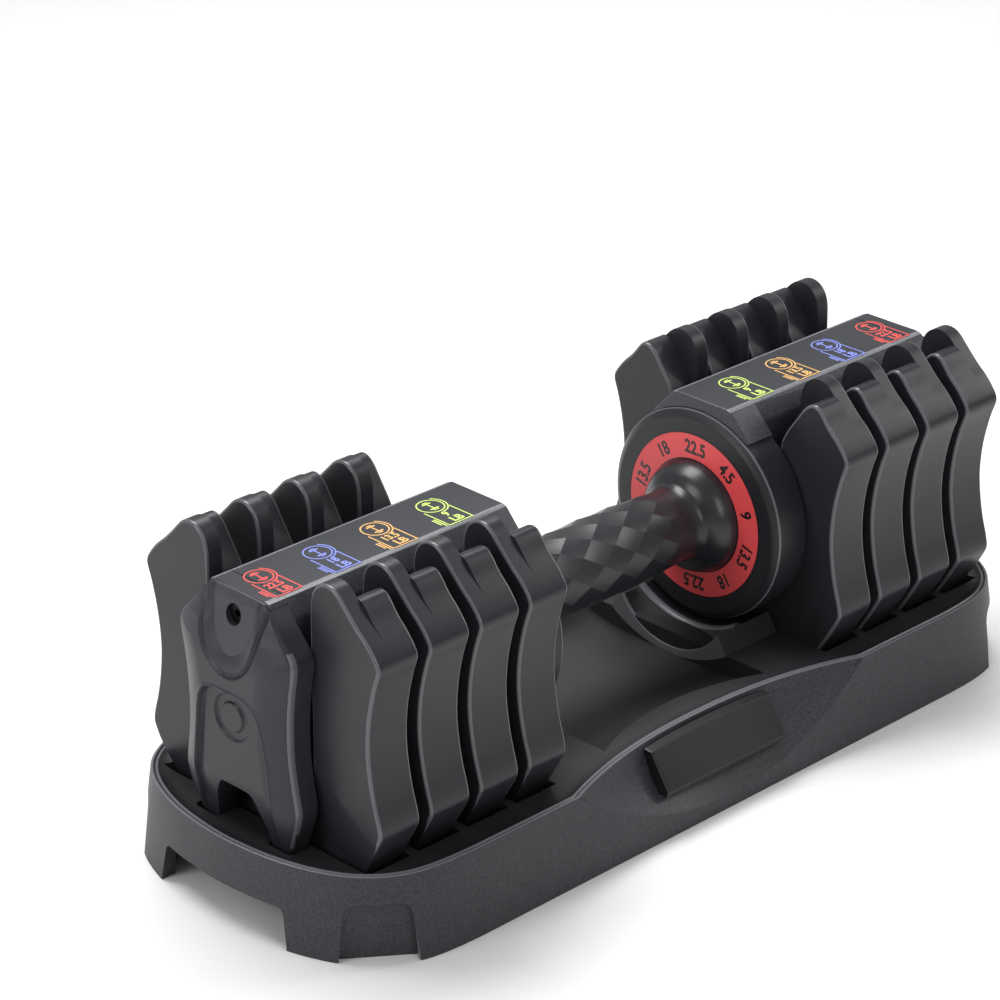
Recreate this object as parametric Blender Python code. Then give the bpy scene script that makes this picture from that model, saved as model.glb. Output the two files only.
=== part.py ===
"""Adjustable dumbbell resting in its storage tray.

X runs along the handle, Z is up, and the origin is the middle of the tray's underside.
Left means -X, right means +X. All lengths are metres.
"""
import math

import bmesh
import bpy
from mathutils import Matrix, Vector

MM = 0.001

# handle axis and the fixed carrier
AXIS_Z = 86.0 * MM            # height of the handle axis over the table
DRUM_BACK = 83.0 * MM
DRUM_R = 48.4 * MM
HOUSING_IN = 68.4 * MM        # handle-side end of a housing's top
HOUSING_OUT = 186.7 * MM
COVER_IN = 187.0 * MM
COVER_SIDE = 195.6 * MM       # where the cover's rounded outer face begins
COVER_OUT = 204.0 * MM
SHAFT_R = 6.0 * MM
GAP = 0.3 * MM                # clearance kept between pieces that touch

# weight plates, four on each side
PLATE_OUT = 186.2 * MM        # outer face of the outermost plate
PITCH = 27.0 * MM
FIN_T = 7.8 * MM              # tall outer flange of a plate
PLATE_T = 21.2 * MM           # flange and weight block together
FLANGE_R = 18.4 * MM          # rim of a selector disc
STEP = 36.0                   # degrees between dial settings

# storage tray
RIM_Z = 37.0 * MM
DECK_Z = 34.5 * MM
WELL_Z = 23.0 * MM
SLOT_Z = 23.0 * MM

# number ring
RING_OUT_R = 37.8 * MM
RING_IN_R = 26.2 * MM
RING_START = -118.0           # degrees round the dial, the gap faces down and back
RING_END = 187.5

SCREW_UP = 44.0 * MM          # end screws over the handle axis
LOCK_X = 73.2 * MM            # lock pins along the handle

SIDES = (("l", -1.0), ("r", 1.0))


def clear_scene():
    for obj in list(bpy.data.objects):
        bpy.data.objects.remove(obj, do_unlink=True)


clear_scene()

PARTS = bpy.data.collections.new("adjustable_dumbbell")
CUTTERS = bpy.data.collections.new("cutters")
bpy.context.scene.collection.children.link(PARTS)
bpy.context.scene.collection.children.link(CUTTERS)


def material(name, colour, roughness, metallic=0.0):
    mat = bpy.data.materials.new(name)
    mat.use_nodes = True
    shader = mat.node_tree.nodes["Principled BSDF"]
    shader.inputs["Base Color"].default_value = (colour[0], colour[1], colour[2], 1.0)
    shader.inputs["Roughness"].default_value = roughness
    shader.inputs["Metallic"].default_value = metallic
    return mat


TRAY_PLASTIC = material("tray_plastic", (0.060, 0.061, 0.065), 0.62)
BADGE_PLASTIC = material("badge_plastic", (0.048, 0.049, 0.052), 0.50)
HOUSING_PLASTIC = material("housing_plastic", (0.055, 0.056, 0.060), 0.55)
COVER_PLASTIC = material("cover_plastic", (0.058, 0.059, 0.063), 0.50)
DRUM_PLASTIC = material("drum_plastic", (0.062, 0.063, 0.067), 0.48)
PLATE_COAT = material("plate_coating", (0.052, 0.053, 0.057), 0.45)
RED_RING = material("red_ring", (0.75, 0.06, 0.07), 0.45)
BLACK_GLOSS = material("black_gloss", (0.025, 0.025, 0.028), 0.22)
GRIP_PLASTIC = material("grip_plastic", (0.045, 0.046, 0.050), 0.50)
STEEL = material("steel", (0.55, 0.56, 0.58), 0.30, 1.0)
BRONZE = material("bush_bronze", (0.45, 0.30, 0.16), 0.35, 1.0)


def link(obj, mat=None, cutter=False):
    if cutter:
        CUTTERS.objects.link(obj)
        obj.hide_render = True
        obj.display_type = "WIRE"
    else:
        PARTS.objects.link(obj)
        obj.data.materials.append(mat)
    return obj


def inset(points, d):
    """Move a closed outline inwards by d (negative d grows it)."""
    area = 0.0
    n = len(points)
    for i in range(n):
        x0, y0 = points[i]
        x1, y1 = points[(i + 1) % n]
        area += x0 * y1 - x1 * y0
    sign = 1.0 if area > 0 else -1.0
    moved = []
    for i in range(n):
        before = Vector(points[i - 1])
        here = Vector(points[i])
        after = Vector(points[(i + 1) % n])
        a = (here - before).normalized()
        b = (after - here).normalized()
        na = Vector((-a.y, a.x)) * sign
        nb = Vector((-b.y, b.x)) * sign
        mid = (na + nb)
        mid.normalize()
        reach = d / max(0.35, mid.dot(na))
        moved.append((here.x + mid.x * reach, here.y + mid.y * reach))
    return moved


def stack(name, rings, axis="X", side=1.0):
    """Solid skin through a pile of outlines; each ring is (outline, place along the axis)."""
    bm = bmesh.new()
    layers = []
    for outline, place in rings:
        layer = []
        for a, b in outline:
            if axis == "X":
                layer.append(bm.verts.new((side * place, a, b)))
            elif axis == "Y":
                layer.append(bm.verts.new((a, side * place, b)))
            else:
                layer.append(bm.verts.new((a, b, place)))
        layers.append(layer)
    n = len(layers[0])
    for low, high in zip(layers, layers[1:]):
        for i in range(n):
            j = (i + 1) % n
            bm.faces.new((low[i], low[j], high[j], high[i]))
    bm.faces.new(layers[0])
    bm.faces.new(layers[-1])
    bmesh.ops.recalc_face_normals(bm, faces=bm.faces)
    mesh = bpy.data.meshes.new(name)
    bm.to_mesh(mesh)
    bm.free()
    return bpy.data.objects.new(name, mesh)


def smooth(obj, degrees=35.0):
    obj.data.shade_smooth()
    obj.data.set_sharp_from_angle(angle=math.radians(degrees))
    return obj


def boolean(obj, other, operation="DIFFERENCE"):
    mod = obj.modifiers.new(other.name, "BOOLEAN")
    mod.operation = operation
    mod.solver = "EXACT"
    mod.object = other
    return mod


def spun(name, profile, steps, side=1.0, mat=None, cutter=False):
    """Turned piece about the handle axis; profile points are (distance along X, radius).

    A profile whose ends lie on the axis is solid, any other is closed into a bored piece.
    """
    mesh = bpy.data.meshes.new(name)
    bm = bmesh.new()
    verts = [bm.verts.new((side * x, 0.0, r)) for x, r in profile]
    for a, b in zip(verts, verts[1:]):
        bm.edges.new((a, b))
    if profile[0][1] > 0.0:
        bm.edges.new((verts[-1], verts[0]))
    bmesh.ops.spin(
        bm,
        geom=bm.verts[:] + bm.edges[:],
        cent=(0.0, 0.0, 0.0),
        axis=(1.0, 0.0, 0.0),
        angle=math.tau,
        steps=steps,
    )
    bmesh.ops.remove_doubles(bm, verts=bm.verts, dist=1e-6)
    bmesh.ops.recalc_face_normals(bm, faces=bm.faces)
    bm.to_mesh(mesh)
    bm.free()
    obj = bpy.data.objects.new(name, mesh)
    obj.location = (0.0, 0.0, AXIS_Z)
    return link(obj, mat, cutter)


def mm(points):
    return [(a * MM, b * MM) for a, b in points]


def mirrored(half):
    """Close a half outline (first and last points on the centre line) by its mirror image."""
    other = [(-a, b) for a, b in reversed(half) if abs(a) > 1e-9]
    return half + other


def arc(radius, start, end, count):
    pts = []
    for k in range(count + 1):
        t = math.radians(start + (end - start) * k / count)
        pts.append((radius * math.cos(t), radius * math.sin(t)))
    return pts


# ---------------------------------------------------------------- outlines (mm)
# halves in (y, height over the handle axis), from the bottom centre round to the top centre
SLOT_BOTTOM = [(30.0, -25.0), (28.2, -30.0), (23.4, -32.6), (0.0, -33.0)]
FIN_HALF = [
    (0.0, -60.0), (50.0, -60.0), (53.6, -58.2), (60.6, -47.4), (67.4, -35.6), (68.4, -32.5),
    (67.8, -28.5), (64.4, -17.8), (62.2, -5.0), (61.6, 5.0), (62.8, 18.0), (65.9, 31.0),
    (68.2, 36.5), (68.5, 40.0), (67.2, 43.8), (62.8, 48.6), (57.0, 53.2), (50.5, 59.8),
    (46.0, 64.6), (42.0, 66.4), (37.5, 66.2), (33.2, 63.4), (30.8, 58.8), (30.0, 52.0),
] + SLOT_BOTTOM
BODY_HALF = [
    (0.0, -60.0), (50.0, -60.0), (53.6, -58.2), (60.6, -47.4), (67.4, -35.6), (68.4, -32.5),
    (67.8, -28.5), (64.4, -17.8), (62.2, -5.0), (61.6, 5.0), (62.8, 18.0), (65.9, 31.0),
    (69.0, 37.0), (69.2, 40.0), (67.8, 44.0), (63.4, 49.6), (59.2, 55.2), (55.6, 59.6),
    (51.6, 61.6), (47.4, 61.2), (43.6, 58.4), (39.6, 52.4), (34.0, 44.6), (30.0, 36.0),
] + SLOT_BOTTOM
HOUSING_HALF = [
    (0.0, 53.6), (15.3, 53.6), (16.9, 52.8), (21.0, 46.0), (21.6, 43.6), (21.6, -20.0), (0.0, -20.0),
]
HOOD_HALF = [(0.0, 53.6), (15.3, 53.6), (16.9, 52.8), (27.6, 41.4), (26.0, 38.0), (0.0, 38.0)]
COVER_HALF = [
    (0.0, 53.4), (14.4, 53.4), (16.8, 52.2), (31.6, 35.6), (33.2, 32.4), (33.2, 28.4),
    (30.9, 17.0), (29.7, 4.0), (29.8, -10.0), (31.4, -22.0), (33.2, -31.0), (33.0, -35.6),
    (28.2, -48.4), (25.6, -56.2), (17.0, -56.2), (15.4, -47.0), (12.2, -37.0), (8.6, -31.0), (0.0, -31.0),
]
V_PANEL_HALF = [
    (0.0, 19.0), (4.6, 20.6), (9.0, 25.4), (12.8, 32.4), (15.6, 40.0), (19.4, 62.0), (0.0, 62.0),
]
POCKET_HALF = [
    (0.0, 11.0), (12.6, 11.0), (16.6, 8.6), (18.6, 3.6), (20.6, -14.0), (22.6, -36.0), (0.0, -36.0),
]


# ---------------------------------------------------------------- storage tray
RIM_QUARTER = [
    (0.0, 79.0), (86.6, 79.0), (142.0, 79.0), (155.3, 78.5), (166.8, 77.2), (177.0, 74.4), (187.0, 68.6),
    (194.6, 61.0), (200.9, 50.6), (206.0, 37.0), (209.4, 21.0), (211.0, 0.0),
]


def tray_outline(grow_x, grow_y):
    quarter = [(x * (1.0 + grow_x / 211.0), y * (1.0 + grow_y / 79.0)) for x, y in RIM_QUARTER]
    first = quarter
    second = [(x, -y) for x, y in reversed(quarter[:-1])]
    third = [(-x, -y) for x, y in quarter[1:]]
    fourth = [(-x, y) for x, y in reversed(quarter[1:-1])]
    return mm(first + second + third + fourth)


def oval(half_x, half_y):
    """Rounded box outline for the dish."""
    line = []
    for k in range(32):
        t = math.tau * k / 32.0
        c = math.cos(t)
        n = math.sin(t)
        line.append((half_x * math.copysign(abs(c) ** 0.72, c), half_y * math.copysign(abs(n) ** 0.72, n)))
    return mm(line)


def clipped(points, limit):
    """Keep the part of an outline where x > limit."""
    kept = []
    n = len(points)
    for i in range(n):
        a = points[i]
        b = points[(i + 1) % n]
        if a[0] >= limit:
            kept.append(a)
        if (a[0] - limit) * (b[0] - limit) < 0.0:
            t = (limit - a[0]) / (b[0] - a[0])
            kept.append((limit, a[1] + t * (b[1] - a[1])))
    return kept


def build_tray():
    rim = tray_outline(0.0, 0.0)
    tray = stack("tray", [
        (tray_outline(3.2, 5.0), 0.0),
        (tray_outline(0.35, 0.5), RIM_Z - 2.2 * MM),
        (inset(rim, 0.7 * MM), RIM_Z - 0.5 * MM),
        (inset(rim, 1.6 * MM), RIM_Z),
        (inset(rim, 3.2 * MM), RIM_Z - 0.2 * MM),
        (inset(rim, 4.8 * MM), DECK_Z),
    ], axis="Z")
    link(tray, TRAY_PLASTIC)

    # raised cradles that hug the bottoms of the dial drums
    cradle_half = [(0.0, -56.0), (34.0, -56.0), (35.5, -50.5), (33.5, -45.6), (30.6, -43.2), (29.4, -42.9)]
    cradle_arc = [(-z, -y) for y, z in arc(52.0, -31.0, 0.0, 4)]
    cradle_line = [(y * MM, z * MM + AXIS_Z) for y, z in mirrored(cradle_half + cradle_arc)]
    for tag, side in SIDES:
        cradle = stack("cradle_" + tag, [
            (cradle_line, 50.0 * MM),
            (cradle_line, 82.6 * MM),
        ], side=side)
        link(cradle, cutter=True)
        boolean(tray, cradle, "UNION")

    # posts that hold the lock pins up while the dumbbell is parked
    for tag, side in SIDES:
        post = upright("lock_post_" + tag, 2.2 * MM, 30.0 * MM, AXIS_Z - 43.3 * MM, side * LOCK_X, 20)
        boolean(tray, post, "UNION")

    # hollow underside, shallow behind the scoops
    wall = tray_outline(0.0, 0.0)
    under = stack("under_low", [
        (inset(wall, 2.2 * MM), -1.0 * MM),
        (inset(wall, 4.2 * MM), 9.5 * MM),
    ], axis="Z")
    link(under, cutter=True)
    boolean(tray, under)
    for tag, side in SIDES:
        part = clipped(inset(wall, 4.4 * MM), 96.0 * MM)
        part = [(side * x, y) for x, y in part]
        end = stack("under_end_" + tag, [(part, 6.0 * MM), (part, 19.5 * MM)], axis="Z")
        link(end, cutter=True)
        boolean(tray, end)
    middle = mm([(-98.0, -55.0), (98.0, -55.0), (98.0, 55.0), (-98.0, 55.0)])
    under_mid = stack("under_middle", [(middle, 8.0 * MM), (middle, 19.0 * MM)], axis="Z")
    link(under_mid, cutter=True)
    boolean(tray, under_mid)

    # shallow dish under the grip
    dish = stack("dish", [
        (oval(24.0, 20.0), WELL_Z),
        (oval(35.0, 31.0), WELL_Z + 1.2 * MM),
        (oval(42.0, 40.0), WELL_Z + 4.4 * MM),
        (oval(46.4, 46.0), WELL_Z + 9.0 * MM),
        (oval(48.4, 49.6), DECK_Z + 0.6 * MM),
        (oval(49.4, 52.0), RIM_Z + 12.0 * MM),
    ], axis="Z")
    link(dish, cutter=True)
    boolean(tray, dish)

    # slots the plates stand in
    slot_half = [
        (0.0, SLOT_Z - AXIS_Z), (54.6 * MM, SLOT_Z - AXIS_Z), (58.6 * MM, -56.6 * MM),
        (64.6 * MM, -46.6 * MM), (66.0 * MM, -40.0 * MM), (0.0, -40.0 * MM),
    ]
    slot_line = [(y, z + AXIS_Z) for y, z in mirrored(slot_half)]
    for tag, side in SIDES:
        for k in range(4):
            start = PLATE_OUT - k * PITCH + 0.7 * MM
            end = PLATE_OUT - k * PITCH - PLATE_T - 0.7 * MM
            slot = stack("plate_slot_%s%d" % (tag, k), [(slot_line, end), (slot_line, start)], side=side)
            link(slot, cutter=True)
            boolean(tray, slot)
        for place in (-1.0, 1.0):
            a = place * 14.8 * MM
            b = place * 29.0 * MM
            leg = [(min(a, b), SLOT_Z), (max(a, b), SLOT_Z), (max(a, b), 50.0 * MM), (min(a, b), 50.0 * MM)]
            name = "leg_slot_%s%d" % (tag, int(place))
            foot = stack(name, [(leg, 186.6 * MM), (leg, 198.4 * MM)], side=side)
            link(foot, cutter=True)
            boolean(tray, foot)

    # finger scoop in the middle of each long side
    for place in (-1.0, 1.0):
        rings = []
        for x in (-92.0, -86.6, -68.0, -53.0, -36.0, -18.0, 0.0, 18.0, 36.0, 53.0, 68.0, 86.6, 92.0):
            t = min(1.0, abs(x) / 88.5)
            rim_y = 63.8 + 15.6 * t ** 2.3
            low_z = 6.0 + 31.2 * t ** 2.2
            wall_y = 84.0 - 5.0 * low_z / 37.0
            if abs(x) > 90.0:
                rim_y = 84.0
                low_z = 38.0
                wall_y = 86.0
            mid_y = 0.5 * (rim_y + wall_y) - 2.6 * (1.0 - t)
            mid_z = 0.5 * (low_z + 37.0)
            section = [
                (rim_y - 0.3, 44.0), (rim_y, 37.0), (mid_y, mid_z),
                (wall_y + 0.05, low_z), (96.0, low_z - 1.0), (96.0, 44.0),
            ]
            rings.append(([(place * y * MM, z * MM) for y, z in section], x * MM))
        scoop = stack("scoop_%d" % int(place), rings)
        link(scoop, cutter=True)
        boolean(tray, scoop)

    # hand openings in the end walls
    gate = mm([(-38.0, -2.0), (38.0, -2.0), (35.4, 14.6), (32.6, 17.6), (-32.6, 17.6), (-35.4, 14.6)])
    for tag, side in SIDES:
        cut = stack("gate_" + tag, [(gate, 196.0 * MM), (gate, 220.0 * MM)], side=side)
        link(cut, cutter=True)
        boolean(tray, cut)

    # arched foot panels sunk in the four corners
    arch = mm([
        (-15.5, -2.0), (15.5, -2.0), (14.0, 18.0), (12.6, 22.0), (9.0, 24.6), (0.0, 25.2),
        (-9.0, 24.6), (-12.6, 22.0), (-14.0, 18.0),
    ])
    for tag, side in SIDES:
        for place in (-1.0, 1.0):
            name = "foot_panel_%s%d" % (tag, int(place))
            panel = stack(name, [(arch, 0.0), (arch, 22.0 * MM)], axis="Y")
            link(panel, cutter=True)
            panel.location = (side * 187.6 * MM, place * 67.6 * MM, 0.0)
            facing = math.atan2(place * 0.80, side * 0.60)
            panel.rotation_euler = (0.0, 0.0, facing - math.pi / 2.0)
            boolean(tray, panel)
    return tray


def build_pads():
    """Blank badge plates standing proud in the scoops."""
    for tag, place in (("front", -1.0), ("back", 1.0)):
        rings = []
        for x in (-37.0, -18.5, 0.0, 18.5, 37.0):
            drop = 2.0 * (abs(x) / 37.0) ** 2
            section = [
                (66.2 + drop * 0.8, 35.6 - drop * 0.2), (69.6 + drop * 0.8, 35.2 - drop * 0.2),
                (81.2, 19.6), (80.2, 16.6), (78.4, 17.2),
            ]
            rings.append(([(place * y * MM, z * MM) for y, z in section], x * MM))
        pad = stack("badge_pad_" + tag, rings)
        link(pad, BADGE_PLASTIC)


# ---------------------------------------------------------------- fixed carrier
def at_axis(points):
    return [(y, z + AXIS_Z) for y, z in mm(points)]


def rod(name, radius, start, end, side, sides, drop=0.0, mat=None):
    """Round bar along the handle axis; a cutter unless it is given a material."""
    mesh = bpy.data.meshes.new(name)
    bm = bmesh.new()
    span = end - start
    bmesh.ops.create_cone(bm, cap_ends=True, segments=sides, radius1=radius, radius2=radius, depth=span)
    bm.to_mesh(mesh)
    bm.free()
    obj = bpy.data.objects.new(name, mesh)
    obj.rotation_euler = (0.0, math.pi / 2.0, 0.0)
    obj.location = (side * 0.5 * (start + end), 0.0, AXIS_Z - drop)
    return link(obj, mat, cutter=mat is None)


def build_housing(tag, side):
    """Inverted trough over the selector discs, its top reaching out over the dial drum."""
    outline = at_axis(mirrored(HOUSING_HALF))
    housing = stack("housing_" + tag, [(outline, HOUSING_IN + 2.0 * MM), (outline, HOUSING_OUT)], side=side)
    link(housing, HOUSING_PLASTIC)
    hood_line = at_axis(mirrored(HOOD_HALF))
    hood = stack("hood_" + tag, [
        (inset(hood_line, 0.9 * MM), HOUSING_IN - 1.4 * MM),
        (hood_line, HOUSING_IN),
        (hood_line, DRUM_BACK - 0.4 * MM),
    ], side=side)
    link(hood, cutter=True)
    boolean(housing, hood, "UNION")
    relief = rod("drum_relief_" + tag, DRUM_R + GAP, 60.0 * MM, DRUM_BACK + GAP, side, 88)
    boolean(housing, relief)
    cavity_half = [(0.0, 50.8), (14.6, 50.8), (18.6, 44.6), (19.2, 42.6), (19.2, -34.0), (0.0, -34.0)]
    cavity_line = at_axis(mirrored(cavity_half))
    cavity = stack("housing_cavity_" + tag, [(cavity_line, 85.7 * MM), (cavity_line, 190.0 * MM)], side=side)
    link(cavity, cutter=True)
    boolean(housing, cavity)
    boolean(housing, rod("bush_hole_" + tag, 10.0 * MM, 80.0 * MM, 90.0 * MM, side, 32))


def build_cover(tag, side):
    """Sculpted outer end cover with two legs."""
    outline = at_axis(mirrored(COVER_HALF))
    cover = stack("end_cover_" + tag, [
        (outline, COVER_IN),
        (outline, COVER_SIDE - 0.6 * MM),
        (inset(outline, 0.9 * MM), COVER_SIDE + 0.8 * MM),
        (inset(outline, 3.6 * MM), COVER_OUT - 0.8 * MM),
        (inset(outline, 4.6 * MM), COVER_OUT),
    ], side=side)
    link(cover, COVER_PLASTIC)
    # the face falls back towards the top edge and the feet of the legs
    fall_line = mm([
        (204.2, 115.0), (202.4, 126.0), (199.4, 134.0), (195.0, 141.0), (214.0, 141.0), (214.0, 25.0),
        (197.6, 25.0), (197.8, 35.0), (200.2, 44.0), (203.2, 54.0), (204.2, 63.0),
    ])
    fall_line = [(side * x, z) for x, z in fall_line]
    fall = stack("cover_fall_" + tag, [(fall_line, -40.0 * MM), (fall_line, 40.0 * MM)], axis="Y")
    link(fall, cutter=True)
    boolean(cover, fall)
    v_line = at_axis(mirrored(V_PANEL_HALF))
    v_panel = stack("v_panel_" + tag, [
        (inset(v_line, 4.2 * MM), 198.6 * MM),
        (inset(v_line, 3.4 * MM), 199.4 * MM),
        (inset(v_line, -1.2 * MM), 206.0 * MM),
    ], side=side)
    link(v_panel, cutter=True)
    boolean(cover, v_panel)
    pocket_line = at_axis(mirrored(POCKET_HALF))
    pocket = stack("pocket_" + tag, [
        (inset(pocket_line, 1.2 * MM), 202.2 * MM),
        (inset(pocket_line, -0.8 * MM), 205.0 * MM),
    ], side=side)
    link(pocket, cutter=True)
    boolean(cover, pocket)
    boolean(cover, rod("shaft_end_bore_" + tag, SHAFT_R + GAP, 180.0 * MM, 195.0 * MM, side, 32))
    boolean(cover, rod("screw_hole_" + tag, 4.4 * MM, 191.0 * MM, 210.0 * MM, side, 24, drop=-SCREW_UP))
    screw = rod("end_screw_" + tag, 4.0 * MM, 191.3 * MM, 196.6 * MM, side, 24, drop=-SCREW_UP, mat=STEEL)
    recess = rod("screw_drive_" + tag, 1.7 * MM, 194.4 * MM, 199.0 * MM, side, 6, drop=-SCREW_UP)
    boolean(screw, recess)


def build_drum(tag, side):
    """Fixed dial drum: shallow cup whose face carries the turning number ring."""
    drum = spun("dial_drum_" + tag, mm([
        (64.0, 38.3), (64.0, 44.6), (64.8, 47.0), (66.4, 48.4), (83.0, 48.4),
        (83.0, 41.0), (70.6, 41.0), (70.6, 12.0), (68.2, 12.0), (68.2, 38.3),
    ]), 44, side, DRUM_PLASTIC)
    smooth(drum)
    # hole for the lock pin through the lower wall
    hole = upright("lock_hole_" + tag, 2.7 * MM, AXIS_Z - 51.0 * MM, AXIS_Z - 38.0 * MM, side * LOCK_X, 20)
    boolean(drum, hole)


def upright(name, radius, low, high, x, sides, mat=None):
    mesh = bpy.data.meshes.new(name)
    bm = bmesh.new()
    span = high - low
    bmesh.ops.create_cone(bm, cap_ends=True, segments=sides, radius1=radius, radius2=radius, depth=span)
    bm.to_mesh(mesh)
    bm.free()
    obj = bpy.data.objects.new(name, mesh)
    obj.location = (x, 0.0, 0.5 * (low + high))
    return link(obj, mat, cutter=mat is None)


def build_lock_pin(tag, side):
    """Spring pin that drops into the lock ring once the dumbbell leaves the tray."""
    low = AXIS_Z - 43.0 * MM
    pin = upright("lock_pin_" + tag, 2.2 * MM, low, AXIS_Z - 21.0 * MM, side * LOCK_X, 20, STEEL)
    bar = [(-1.6, -25.4), (1.6, -25.4), (1.6, -21.6), (-1.6, -21.6)]
    tooth = stack("lock_tooth_" + tag, [(at_axis(bar), 73.0 * MM), (at_axis(bar), 79.6 * MM)], side=side)
    link(tooth, cutter=True)
    boolean(pin, tooth, "UNION")


def build_bush(tag, side):
    bush = spun("shaft_bush_" + tag, mm([
        (82.8, 6.3), (82.8, 9.7), (85.9, 9.7), (85.9, 6.3),
    ]), 20, side, BRONZE)
    smooth(bush)


# ---------------------------------------------------------------- turning selector
def build_ring(tag, side):
    """C-shaped number ring, open at the lower left."""
    line = arc(RING_OUT_R, RING_START, RING_END, 32) + arc(RING_IN_R, RING_END, RING_START, 26)
    line = [(-y, z + AXIS_Z) for y, z in line]
    ring = stack("number_ring_" + tag, [(line, 63.9 * MM), (line, 65.3 * MM)], side=side)
    link(ring, RED_RING)


def build_collar(tag, side):
    """Glossy bell between the grip and the number ring, with the flange that carries the ring."""
    collar = spun("bell_collar_" + tag, mm([
        (43.0, 6.3), (43.0, 16.4), (49.0, 17.2), (55.0, 18.9), (59.0, 21.1), (62.4, 24.2),
        (64.2, 25.9), (65.6, 25.9), (65.6, 37.9), (67.9, 37.9), (67.9, 11.6), (73.6, 11.6), (73.6, 6.3),
    ]), 32, side, BLACK_GLOSS)
    smooth(collar)


def build_lock_ring(tag, side):
    """Ring with ten inner notches, one for each step of the dial."""
    outer = []
    inner = []
    for k in range(10):
        mid = 270.0 + STEP * k
        for offset, radius in ((-18.0, 28.2), (-4.8, 28.2), (-4.6, 31.4), (4.6, 31.4), (4.8, 28.2)):
            t = math.radians(mid + offset)
            inner.append((radius * MM * math.cos(t), AXIS_Z + radius * MM * math.sin(t)))
            outer.append((34.0 * MM * math.cos(t), AXIS_Z + 34.0 * MM * math.sin(t)))
    mesh = bpy.data.meshes.new("lock_ring_" + tag)
    bm = bmesh.new()
    near = side * 76.2 * MM
    far = side * 80.2 * MM
    n = len(inner)
    a = [bm.verts.new((near, y, z)) for y, z in outer]
    b = [bm.verts.new((far, y, z)) for y, z in outer]
    c = [bm.verts.new((far, y, z)) for y, z in inner]
    d = [bm.verts.new((near, y, z)) for y, z in inner]
    for i in range(n):
        j = (i + 1) % n
        bm.faces.new((a[i], a[j], b[j], b[i]))
        bm.faces.new((b[i], b[j], c[j], c[i]))
        bm.faces.new((c[i], c[j], d[j], d[i]))
        bm.faces.new((d[i], d[j], a[j], a[i]))
    bmesh.ops.recalc_face_normals(bm, faces=bm.faces)
    bm.to_mesh(mesh)
    bm.free()
    ring = bpy.data.objects.new("lock_ring_" + tag, mesh)
    link(ring, STEEL)
    web = spun("lock_web_" + tag, mm([
        (74.2, 6.3), (74.2, 10.0), (80.0, 10.0), (80.0, 33.0), (82.4, 33.0), (82.4, 6.3),
    ]), 24, side, cutter=True)
    boolean(ring, web, "UNION")


def build_disc(tag, side, k):
    """Selector disc: its rim flange runs under the hook of one plate."""
    out = PLATE_OUT / MM - PITCH / MM * k
    web_near = out - 18.9
    web_far = out - 16.3
    held = STEP * k + 34.0            # degrees of rim, twice round, that carry the plate
    steps = 3 * (k + 1)
    bare = 15 - steps
    cam = []
    for turn in (0.0, 180.0):
        cam += arc(FLANGE_R / MM, 107.0 - held + turn, 107.0 + turn, steps)
        cam += arc(15.0, 108.0 + turn, 286.0 - held + turn, bare)
    disc = stack("selector_disc_%s%d" % (tag, 4 - k), [
        (at_axis(cam), web_near * MM), (at_axis(cam), web_far * MM),
    ], side=side)
    link(disc, STEEL)
    for turn in (0.0, 180.0):
        first = 107.0 - held + turn
        last = 107.0 + turn
        line = at_axis(arc(FLANGE_R / MM, first, last, steps) + arc(15.8, last, first, steps))
        flange = stack("flange_%s%d_%d" % (tag, k, int(turn)), [
            (line, (out - 11.4) * MM), (line, (web_near + 0.9) * MM),
        ], side=side)
        link(flange, cutter=True)
        boolean(disc, flange, "UNION")
    name = "hub_%s%d" % (tag, k)
    boolean(disc, rod(name, 8.8 * MM, (web_near + 0.4) * MM, (web_far + 5.6) * MM, side, 20), "UNION")
    boolean(disc, rod("bore_" + name, SHAFT_R + GAP, (web_near - 4.0) * MM, (web_far + 9.0) * MM, side, 20))


def build_grip():
    """Faceted grip sleeve, slightly fuller in the middle."""
    count = 10
    rows = 7
    length = 42.6 * MM
    rings = []
    for r in range(rows):
        t = -1.0 + 2.0 * r / (rows - 1)
        radius = (18.2 - 1.2 * abs(t) ** 2) * MM
        line = []
        for i in range(count):
            a = math.tau * (i + 0.5 * (r % 2)) / count
            line.append((radius * math.cos(a), AXIS_Z + radius * math.sin(a)))
        rings.append((line, t * length))
    mesh = bpy.data.meshes.new("grip_sleeve")
    bm = bmesh.new()
    layers = []
    for line, x in rings:
        layers.append([bm.verts.new((x, y, z)) for y, z in line])
    for r in range(rows - 1):
        low = layers[r]
        high = layers[r + 1]
        shift = r % 2
        for i in range(count):
            j = (i + 1) % count
            if shift == 0:
                bm.faces.new((low[i], low[j], high[i]))
                bm.faces.new((low[j], high[j], high[i]))
            else:
                bm.faces.new((low[i], high[j], high[i]))
                bm.faces.new((low[i], low[j], high[j]))
    inner = []
    for x in (-length, length):
        bore = [(y, z + AXIS_Z) for y, z in mm(arc(6.4, 0.0, 360.0 - 360.0 / count, count - 1))]
        inner.append([bm.verts.new((x, y, z)) for y, z in bore])
    for i in range(count):
        j = (i + 1) % count
        bm.faces.new((inner[0][i], inner[0][j], layers[0][j], layers[0][i]))
        bm.faces.new((layers[-1][i], layers[-1][j], inner[1][j], inner[1][i]))
        bm.faces.new((inner[1][i], inner[1][j], inner[0][j], inner[0][i]))
    bmesh.ops.recalc_face_normals(bm, faces=bm.faces)
    bm.to_mesh(mesh)
    bm.free()
    grip = bpy.data.objects.new("grip_sleeve", mesh)
    link(grip, GRIP_PLASTIC)


def build_shaft():
    reach = 192.0 * MM
    shaft = rod("selector_shaft", SHAFT_R, -reach, reach, 1.0, 24, mat=STEEL)
    smooth(shaft)


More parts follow.
